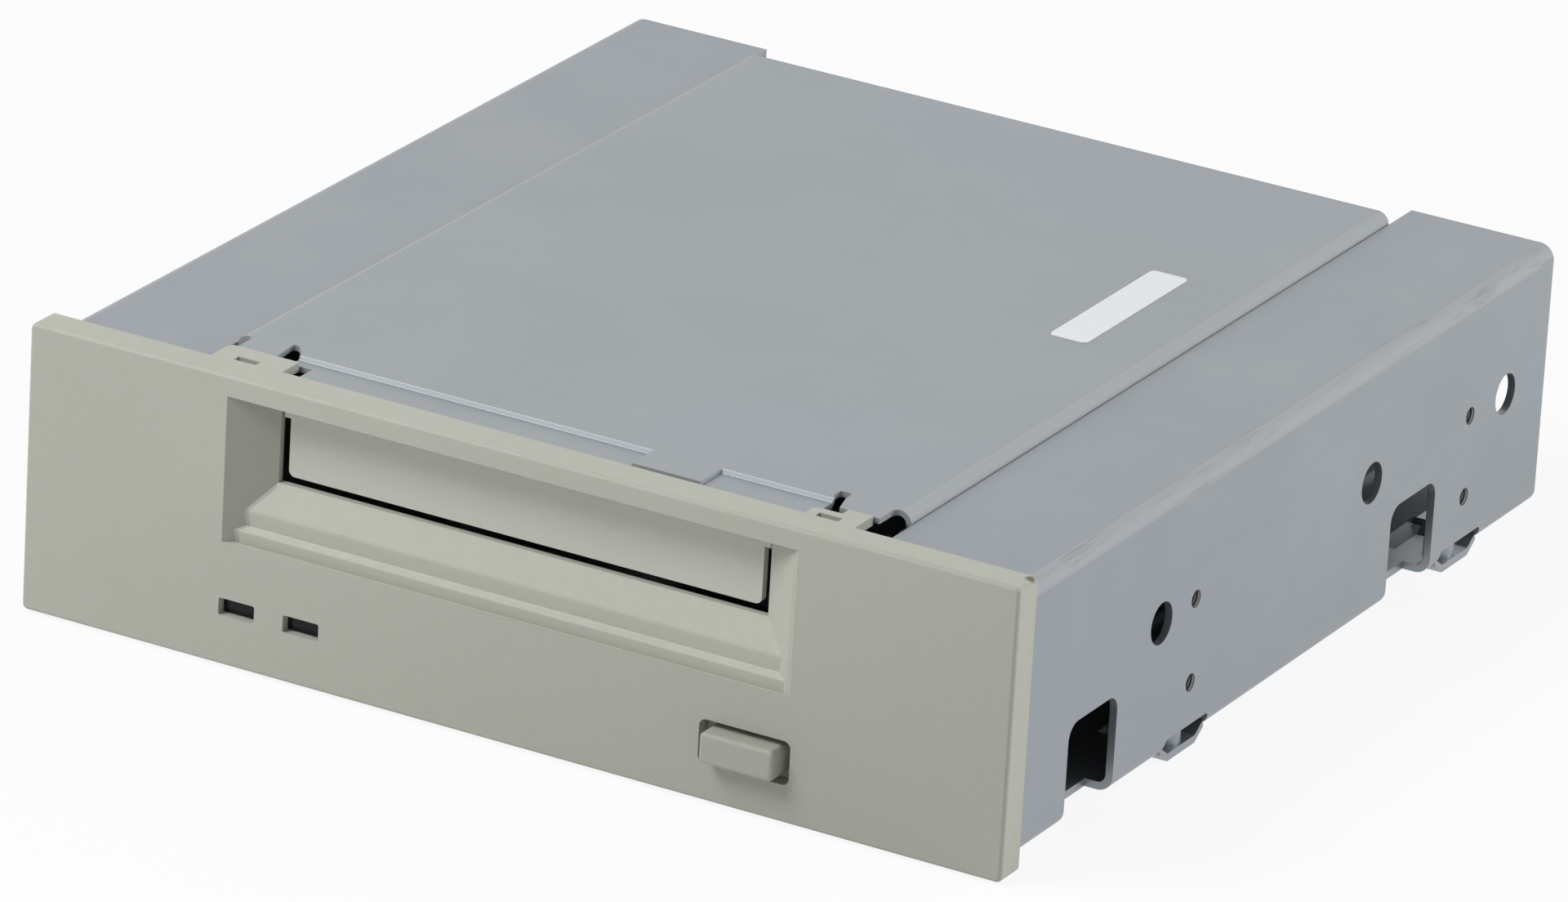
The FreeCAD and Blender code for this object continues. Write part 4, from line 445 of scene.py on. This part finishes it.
def plated_sheet(name, rgb, roughness, cloud_size=30 * MM, matt_lit_bands=(), scuffs=None, shaded_insides=()):
    """Rolled and plated sheet: soft clouds and a faint rolling grain.

    Between the heights of scuffs the sheet is rubbed in streaks, and between each pair of heights
    in the matt bands it is matt and painted paler, a painted highlight. Each item of the dark
    interiors is painted shade: half width, low, high and depth.
    """
    metal = 0.72
    shade = Shade(name, rgb, roughness, metallic=metal, specular=0.5)
    cloud = shade.noise(cloud_size, 4.0, 0.55)
    pale = shade.tint(shade.ramp(cloud, 0.38, 0.68, 0.0, 0.45), lighter(rgb, 0.10))
    cool = (rgb[0] * 0.86, rgb[1] * 0.90, rgb[2] * 0.95)
    stain = shade.noise(cloud_size * 1.9, 2.0, 0.5)
    skin = shade.tint(shade.ramp(stain, 0.48, 0.72, 0.0, 0.4), cool, pale)
    grain = shade.noise(0.6 * MM, 2.0, 0.6, (1.0, 0.06, 1.0))
    skin = shade.tint(shade.ramp(grain, 0.4, 0.8, 0.0, 0.12), darker(rgb, 0.82), skin)
    matt = [shade.band("Z", low, high) for low, high in matt_lit_bands]
    # painted highlight: the matt bands are also painted paler
    if matt:
        skin = shade.tint(shade.ramp(shade.either(*matt), 0.0, 1.0, 0.0, 0.75),
                          lighter(rgb, 0.14), skin)
    if scuffs:
        rubbed = shade.product(shade.band("Z", *scuffs), shade.smear())
        skin = shade.tint(shade.ramp(rubbed, 0.0, 1.0, 0.0, 0.6), (0.24, 0.225, 0.20), skin)
    # painted shade: each interior is darkened nearly to black and made matt
    for half, low, high, depth in shaded_insides:
        painted_shade_room = shade.product(shade.band("X", -half, half), shade.band("Z", low, high))
        skin = shade.tint(shade.ramp(painted_shade_room, 0.0, 1.0, 0.0, depth), darker(rgb, 0.06), skin)
        matt.append(painted_shade_room)
    if matt:
        no_shine = shade.either(*matt)
        shade.blend_input("Roughness", no_shine, roughness, 0.7)
        shade.blend_input("Metallic", no_shine, metal, 0.3)
    else:
        shade.rough(cloud, roughness - 0.07, roughness + 0.08)
    shade.bump(grain, FINE_GRAIN, 0.5)
    return shade.material


def paper_label(finish):
    """Coated paper with a very faint fibre."""
    shade = Shade("label_paper", finish.label, 0.38, specular=0.4)
    fibre = shade.noise(0.6 * MM, 3.0, 0.7)
    shade.tint(shade.ramp(fibre, 0.4, 0.75, 0.0, 0.35), darker(finish.label, 0.955))
    shade.bump(fibre, FINE_GRAIN, 0.6)
    return shade.material


def solder_mask(finish):
    """Green board with fainter copper tracks and pads under the mask."""
    shade = Shade("circuit_board", finish.board, 0.34, specular=0.5)
    track = shade.add("ShaderNodeTexBrick", offset=0.37, squash=1.7, squash_frequency=3)
    track.inputs["Scale"].default_value = 1.0 / (6 * MM)
    track.inputs["Mortar Size"].default_value = 0.035
    track.inputs["Mortar Smooth"].default_value = 0.1
    track.inputs["Brick Width"].default_value = 0.9
    track.inputs["Row Height"].default_value = 0.21
    shade.link(shade.place, track.inputs["Vector"])
    lines = shade.tint(track.outputs["Fac"], lighter(finish.board, 0.10))
    spots = shade.add("ShaderNodeTexVoronoi", feature="DISTANCE_TO_EDGE")
    spots.inputs["Scale"].default_value = 1.0 / (4.2 * MM)
    shade.link(shade.place, spots.inputs["Vector"])
    shade.tint(shade.ramp(spots.outputs["Distance"], 0.0, 0.05, 0.4, 0.0),
               lighter(finish.board, 0.16), lines)
    shade.bump(track.outputs["Fac"], 0.02 * MM, 0.8)
    return shade.material


def plain_plastic(name, rgb, roughness):
    """Moulded plastic with a fine grain and slightly uneven gloss."""
    shade = Shade(name, rgb, roughness, specular=0.45)
    cloud = shade.noise(4 * MM, 3.0)
    shade.tint(shade.ramp(cloud, 0.4, 0.7, 0.0, 0.5), lighter(rgb, 0.05))
    shade.rough(cloud, roughness - 0.06, roughness + 0.1)
    shade.bump(shade.noise(0.4 * MM, 2.0, 0.6), 0.008 * MM, 0.6)
    return shade.material


def lens_plastic():
    """Smoked clear plastic of the indicator windows."""
    shade = Shade("smoked_lens", (0.004, 0.005, 0.006), 0.2, specular=0.22)
    haze = shade.noise(1.2 * MM, 2.0)
    shade.rough(haze, 0.14, 0.3)
    shade.tint(shade.ramp(haze, 0.4, 0.7, 0.0, 0.6), (0.010, 0.012, 0.014))
    return shade.material


def bright_metal(name, rgb, roughness):
    """Turned, ground or plated metal with fine tool marks."""
    shade = Shade(name, rgb, roughness, metallic=1.0)
    marks = shade.noise(0.7 * MM, 3.0, 0.6, (1.0, 1.0, 4.0))
    shade.tint(shade.ramp(marks, 0.35, 0.75, 0.0, 0.5), darker(rgb, 0.86))
    shade.rough(marks, roughness - 0.06, roughness + 0.1)
    shade.bump(marks, FINE_GRAIN, 0.5)
    return shade.material


def ground_rubber():
    """Black rubber with a ground surface and a little bloom."""
    shade = Shade("roller_rubber", (0.022, 0.022, 0.023), 0.72, specular=0.35)
    bloom = shade.noise(1.2 * MM, 4.0, 0.65)
    shade.tint(shade.ramp(bloom, 0.45, 0.8, 0.0, 0.6), (0.05, 0.05, 0.052))
    shade.bump(shade.noise(0.18 * MM, 2.0, 0.6), 0.01 * MM, 0.8)
    return shade.material


# ---- mesh helpers --------------------------------------------------------------------------

def finished(name, mesh, material):
    """Turns a bmesh into a piece at the origin that stays with the frame of the drive."""
    bmesh.ops.recalc_face_normals(mesh, faces=mesh.faces)
    piece = placed(name, mesh, material)
    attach(piece, "root")
    return piece


def placed(name, mesh, material):
    """Puts a bmesh in the scene as an object with one material."""
    data = bpy.data.meshes.new(name)
    mesh.to_mesh(data)
    mesh.free()
    data.materials.append(material)
    thing = bpy.data.objects.new(name, data)
    bpy.context.scene.collection.objects.link(thing)
    return thing


def slab(low, high, rounding):
    """A box between two corners, with its upright edges rounded."""
    low, high = Vector(low), Vector(high)
    mesh = bmesh.new()
    bmesh.ops.create_cube(mesh, size=1.0)
    bmesh.ops.scale(mesh, verts=mesh.verts, vec=high - low)
    bmesh.ops.translate(mesh, verts=mesh.verts, vec=(low + high) / 2)
    upright = [edge for edge in mesh.edges
               if abs((edge.verts[0].co - edge.verts[1].co).normalized().z) > 0.9]
    bmesh.ops.bevel(mesh, geom=upright, offset=rounding, segments=3, affect="EDGES",
                    profile=0.5, material=-1)
    return mesh


def new_edges(made):
    """The new points of an extrusion, and the edges that join them."""
    points = {item for item in made if isinstance(item, bmesh.types.BMVert)}
    return points, [item for item in made if isinstance(item, bmesh.types.BMEdge)
                    and points.issuperset(item.verts)]


def grow(mesh, loop, stations):
    """Extrudes a ring of edges about Z through (radius, height) stations; gives the last ring."""
    for radius, height in stations:
        points, loop = new_edges(bmesh.ops.extrude_edge_only(mesh, edges=loop)["geom"])
        for point in points:
            across = point.co.xy.normalized() * radius
            point.co = (across.x, across.y, height)
    return loop


def add_ring(mesh, radius, height=0.0):
    """Adds a ring of edges about Z."""
    made = bmesh.ops.create_circle(mesh, segments=ROUND_SIDES, radius=radius,
                                   matrix=Matrix.Translation((0, 0, height)))
    points = set(made["verts"])
    return [edge for edge in mesh.edges if points.issuperset(edge.verts)]


def cross_recess(size, top):
    """The floor and walls of a driver's cross in a flat top; gives its mesh and its rim."""
    mesh = bmesh.new()
    half, reach = size.recess_width / 2, size.recess_reach
    bmesh.ops.create_grid(mesh, x_segments=3, y_segments=3, size=reach)
    for point in mesh.verts:
        for axis in (0, 1):
            if abs(point.co[axis]) < reach * 0.9:
                point.co[axis] = math.copysign(half, point.co[axis])
    corners = [face for face in mesh.faces
               if min(abs(v) for v in face.calc_center_median().xy) > half]
    bmesh.ops.delete(mesh, geom=corners, context="FACES")
    bmesh.ops.translate(mesh, verts=mesh.verts, vec=(0, 0, top - size.recess_depth))
    rim = [edge for edge in mesh.edges if edge.is_boundary]
    upper, rim = new_edges(bmesh.ops.extrude_edge_only(mesh, edges=rim)["geom"])
    bmesh.ops.translate(mesh, verts=list(upper), vec=(0, 0, size.recess_depth))
    return mesh, rim


def pan_head_screw(size):
    """One screw with a cross recess: its seat is at the origin and its head points up."""
    head, thick, shank = size.screw_head, size.screw_thick, size.screw_shank
    mesh, rim = cross_recess(size, thick)
    flat = add_ring(mesh, head * HEAD_FLAT, thick)
    bmesh.ops.bridge_loops(mesh, edges=rim + flat)
    outline = [(head * across, thick * up) for across, up in HEAD_CURVE]
    tip = grow(mesh, flat, outline + [(shank, 0.0), (shank, -size.screw_run)])
    bmesh.ops.holes_fill(mesh, edges=tip)
    return mesh


def thread_sleeve(size):
    """The threads of one tapped hole, from the origin down."""
    mesh = bmesh.new()
    outer = size.thread_outer
    crest, root = outer - size.thread_depth, outer - 0.03 * MM
    mouth = add_ring(mesh, outer)
    stations = [(outer, -size.thread_run)]
    for turn in range(int(size.thread_run / size.thread_pitch), 0, -1):
        stations += [(root, -turn * size.thread_pitch), (crest, (0.5 - turn) * size.thread_pitch)]
    bmesh.ops.bridge_loops(mesh, edges=mouth + grow(mesh, mouth, stations))
    return mesh


def copies(single, places):
    """Repeats a small mesh at places, each a point and the direction its top faces."""
    bmesh.ops.recalc_face_normals(single, faces=single.faces)
    data = bpy.data.meshes.new("single")
    single.to_mesh(data)
    single.free()
    mesh = bmesh.new()
    for point, outward in places:
        old = set(mesh.verts)
        mesh.from_mesh(data)
        turn = Vector(outward).to_track_quat("Z", "Y").to_matrix().to_4x4()
        bmesh.ops.transform(mesh, matrix=Matrix.Translation(point) @ turn,
                            verts=[vert for vert in mesh.verts if vert not in old])
    bpy.data.meshes.remove(data)
    return mesh


# ---- operators -----------------------------------------------------------------------------

class DRIVE_OT_mouldings(bpy.types.Operator):
    """Finish the bezel, the cassette door, the eject button and the indicator lenses"""

    bl_idname = "tape_drive.mouldings"
    bl_label = "Mouldings"

    def execute(self, context):
        finish = settings().finish
        coat(moulded_plastic(finish, "bezel_plastic", finish.bezel, bezel_shade_and_mark), "bezel")
        # painted light and shade: the door is a lighter copy of the bezel plastic and the button
        # a darker one
        coat(moulded_plastic(finish, "door_plastic", lighter(finish.bezel, 0.14)),
             "cassette_door")
        coat(moulded_plastic(finish, "button_plastic", darker(finish.bezel, 0.84)),
             "eject_button")
        coat(lens_plastic(), "indicator_lens_left", "indicator_lens_right")
        return {"FINISHED"}


class DRIVE_OT_sheet_metal(bpy.types.Operator):
    """Finish the side brackets, the cover and the base pan"""

    bl_idname = "tape_drive.sheet_metal"
    bl_label = "Sheet metal"

    def execute(self, context):
        finish = settings().finish
        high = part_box("bracket_right")[1]
        # the rounded bends: matt, painted paler as a painted highlight, and rubbed in streaks
        bend = (high.z - 2.1 * MM, high.z - 0.04 * MM)
        # the inner faces of a bracket's wall and foot, which stand in the dark and get painted
        # shade
        foot_high = 3.6 * MM
        wall = (high.x - 1.05 * MM, foot_high, high.z - MM, 0.9)
        foot = (high.x - 9.6 * MM, 2.55 * MM, foot_high, 0.6)
        coat(plated_sheet("bracket_steel", finish.steel, finish.steel_gloss, matt_lit_bands=[bend],
                          scuffs=bend, shaded_insides=[wall, foot]),
             "bracket_left", "bracket_right")
        # the cover's slopes and rolled edges are matt and painted paler, a painted highlight
        strip, hair = COVER_TOP - STRIP_DROP, 0.03 * MM
        slopes = [(strip + hair, COVER_TOP - hair), (COVER_TOP - 1.8 * MM, strip - hair)]
        coat(plated_sheet("cover_steel", finish.cover, finish.steel_gloss, COVER_CLOUDS, slopes),
             "top_cover")
        coat(plated_sheet("pan_steel", finish.cover, finish.steel_gloss, COVER_CLOUDS),
             "base_pan")
        return {"FINISHED"}


class DRIVE_OT_label(bpy.types.Operator):
    """Stick the blank label on the cover"""

    bl_idname = "tape_drive.label"
    bl_label = "Label"

    def execute(self, context):
        fitting = settings().fitting
        low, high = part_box("top_cover")
        right = high.x - fitting.label_side
        front = low.y + fitting.label_front
        mesh = slab((right - fitting.label_width, front, high.z),
                    (right, front + fitting.label_length, high.z + fitting.label_thick),
                    fitting.label_corner)
        finished("cover_label", mesh, paper_label(settings().finish))
        return {"FINISHED"}


class DRIVE_OT_screws(bpy.types.Operator):
    """Model the six screws that hold the brackets, with their cross recesses"""

    bl_idname = "tape_drive.screws"
    bl_label = "Bracket screws"

    def execute(self, context):
        fitting = settings().fitting
        low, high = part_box("bracket_screws")
        seat, middle = high.x - fitting.screw_thick, (low.z + high.z) / 2
        first, last = low.y + fitting.screw_head, high.y - fitting.screw_head
        rows = (first, first + fitting.screw_step, last)
        places = [((seat * side, y, middle), (side, 0, 0)) for side in (-1, 1) for y in rows]
        steel = bright_metal("cross_screw", (0.46, 0.46, 0.45), 0.34)
        piece = finished("cross_screws", copies(pan_head_screw(fitting), places), steel)
        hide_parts("bracket_screws")
        return {"FINISHED"}


class DRIVE_OT_threads(bpy.types.Operator):
    """Cut the threads of the tapped mounting holes in the brackets"""

    bl_idname = "tape_drive.threads"
    bl_label = "Threads"

    def execute(self, context):
        fitting = settings().fitting
        places = []
        for mount in frame["record"]["mounts"]:
            if mount["kind"] != "bolt_pattern":
                continue
            point, axis, dims = Vector(mount["pos_m"]), Vector(mount["axis"]), mount["dims"]
            wide, tall = dims["spacing_x_mm"] / 2 * MM, dims["spacing_y_mm"] / 2 * MM
            mouth = point - axis * fitting.thread_inset
            for a in (-wide, wide):
                for b in (-tall, tall):
                    offset = Vector((a, b, 0)) if axis.z else Vector((0, a, b))
                    places.append((mouth + offset, axis))
        finished("hole_threads", copies(thread_sleeve(fitting), places),
                 bright_metal("cut_thread", (0.22, 0.22, 0.22), 0.4))
        return {"FINISHED"}


class DRIVE_OT_boards(bpy.types.Operator):
    """Finish the circuit boards, their chips and the connectors"""

    bl_idname = "tape_drive.boards"
    bl_label = "Boards and connectors"

    def execute(self, context):
        finish = settings().finish
        coat(solder_mask(finish), "main_board", "front_board")
        coat(plain_plastic("chip_plastic", finish.black, 0.5), "board_chips", "eject_switch")
        coat(plain_plastic("connector_black", darker(finish.black, 0.9), 0.42), "bus_connector")
        coat(plain_plastic("connector_white", (0.74, 0.72, 0.66), 0.45), "power_connector")
        coat(plain_plastic("green_diode", (0.10, 0.34, 0.12), 0.25), "indicator_leds")
        coat_metals(PIN_METALS)
        return {"FINISHED"}


class DRIVE_OT_mechanism(bpy.types.Operator):
    """Finish the deck, the cassette lift, the gears, the motors and the tape path"""

    bl_idname = "tape_drive.mechanism"
    bl_label = "Mechanism"

    def execute(self, context):
        finish = settings().finish
        deck = plated_sheet("deck_steel", (0.40, 0.40, 0.38), 0.4, DECK_CLOUDS)
        coat(deck, "mechanism_deck", "guide_plate_left", "guide_plate_right", "cam_plate_left",
             "cam_plate_right", "lift_yoke", "pinch_arm")
        coat(plated_sheet("holder_steel", finish.holder, 0.4, DECK_CLOUDS), "cassette_holder")
        acetal = plain_plastic("acetal", finish.acetal, 0.4)
        coat(acetal, "loading_gear", "motor_pinion", "supply_reel_table", "take_up_reel_table")
        coat(ground_rubber(), "pinch_roller")
        coat_metals(MECHANISM_METALS)
        return {"FINISHED"}


class DRIVE_OT_stage(bpy.types.Operator):
    """Set up the floor, the lamps and the camera"""

    bl_idname = "tape_drive.stage"
    bl_label = "Studio"

    def execute(self, context):
        studio = settings().studio
        scene = context.scene
        scene.view_settings.view_transform = "Standard"
        lay_floor(studio.floor_glow)
        light_sky(studio.sky)
        hang_lamp("key_lamp", studio.key_place, studio.key_size, studio.key)
        hang_lamp("rim_lamp", studio.rim_place, studio.rim_size, studio.rim)
        set_camera(scene, studio)
        return {"FINISHED"}


def lay_floor(white):
    """A pale floor that keeps the drive's shadow and looks nearly white where it is seen."""
    mesh = bmesh.new()
    bmesh.ops.create_grid(mesh, x_segments=1, y_segments=1, size=30.0)
    bmesh.ops.translate(mesh, verts=mesh.verts, vec=(0, 0, -0.05 * MM))
    shade = Shade("floor_paper", (0.86, 0.86, 0.86), 0.9, specular=0.1)
    glow = shade.add("ShaderNodeEmission").outputs["Emission"]
    low, high = CAD_BOX
    inset = 9 * MM
    under = shade.product(shade.band("X", low[0] + inset, high[0] - inset),
                          shade.band("Y", low[1] + inset, high[1] - inset))
    share_white = shade.product(shade.seen(), shade.ramp(under, 0.0, 1.0, white, 0.0))
    output = shade.tree.nodes["Material Output"]
    shade.link(shade.mixed(share_white, shade.surface.outputs["BSDF"], glow),
               output.inputs["Surface"])
    floor = placed("floor", mesh, shade.material)


def light_sky(strength):
    """Even light from all round; where the sky is seen it is white."""
    world = bpy.data.worlds.new("studio")
    bpy.context.scene.world = world
    world.use_nodes = True
    nodes = Nodes(world.node_tree)
    lit, white = nodes.tree.nodes["Background"], nodes.add("ShaderNodeBackground")
    lit.inputs["Strength"].default_value = strength
    for light in (lit, white):
        light.inputs["Color"].default_value = (1.0, 1.0, 1.0, 1.0)
    sky = nodes.mixed(nodes.seen(), lit.outputs["Background"], white.outputs["Background"])
    nodes.link(sky, nodes.tree.nodes["World Output"].inputs["Surface"])


def hang_lamp(name, place, size, power):
    """Hangs a square lamp that points at the middle of the drive."""
    lamp = bpy.data.lights.new(name, "AREA")
    lamp.size = size
    lamp.energy = power
    thing = bpy.data.objects.new(name, lamp)
    aim = (LAMP_TARGET - Vector(place)).to_track_quat("-Z", "Y")
    thing.matrix_world = Matrix.Translation(place) @ aim.to_matrix().to_4x4()
    bpy.context.scene.collection.objects.link(thing)


def set_camera(scene, studio):
    """A long lens from the right front, a little above and slightly rolled."""
    data = bpy.data.cameras.new("camera")
    data.lens = studio.lens
    data.sensor_width = 36.0
    data.clip_end = 100.0
    camera = bpy.data.objects.new("camera", data)
    around = Matrix.Rotation(studio.azimuth, 4, "Z")
    upwards = Matrix.Rotation(math.pi / 2 - studio.elevation, 4, "X")
    lean = Matrix.Rotation(studio.roll, 4, "Z")
    camera.matrix_world = Matrix.Translation(studio.place) @ around @ upwards @ lean
    scene.collection.objects.link(camera)
    scene.camera = camera


class DRIVE_PT_looks(bpy.types.Panel):
    """Lists the steps that dress the tape drive"""

    bl_idname = "DRIVE_PT_looks"
    bl_label = "Tape drive"
    bl_space_type = "VIEW_3D"
    bl_region_type = "UI"
    bl_category = "Tape Drive"

    def draw(self, context):
        for operator in OPERATORS:
            self.layout.operator(operator.bl_idname)
        for part in (settings().finish, settings().fitting, settings().studio):
            box = self.layout.box()
            for name in part.__annotations__:
                box.prop(part, name)


OPERATORS = (DRIVE_OT_mouldings, DRIVE_OT_sheet_metal, DRIVE_OT_label, DRIVE_OT_screws,
             DRIVE_OT_threads, DRIVE_OT_boards, DRIVE_OT_mechanism, DRIVE_OT_stage)
CLASSES = (FinishSettings, FittingSettings, StudioSettings, DriveSettings, *OPERATORS,
           DRIVE_PT_looks)


def register():
    for item in CLASSES:
        bpy.utils.register_class(item)
    bpy.types.Scene.tape_drive = PointerProperty(type=DriveSettings)


def unregister():
    del bpy.types.Scene.tape_drive
    for item in reversed(CLASSES):
        bpy.utils.unregister_class(item)


def main():
    register()
    for operator in OPERATORS:
        group, name = operator.bl_idname.split(".")
        getattr(getattr(bpy.ops, group), name)()


if __name__ == "__main__":
    main()
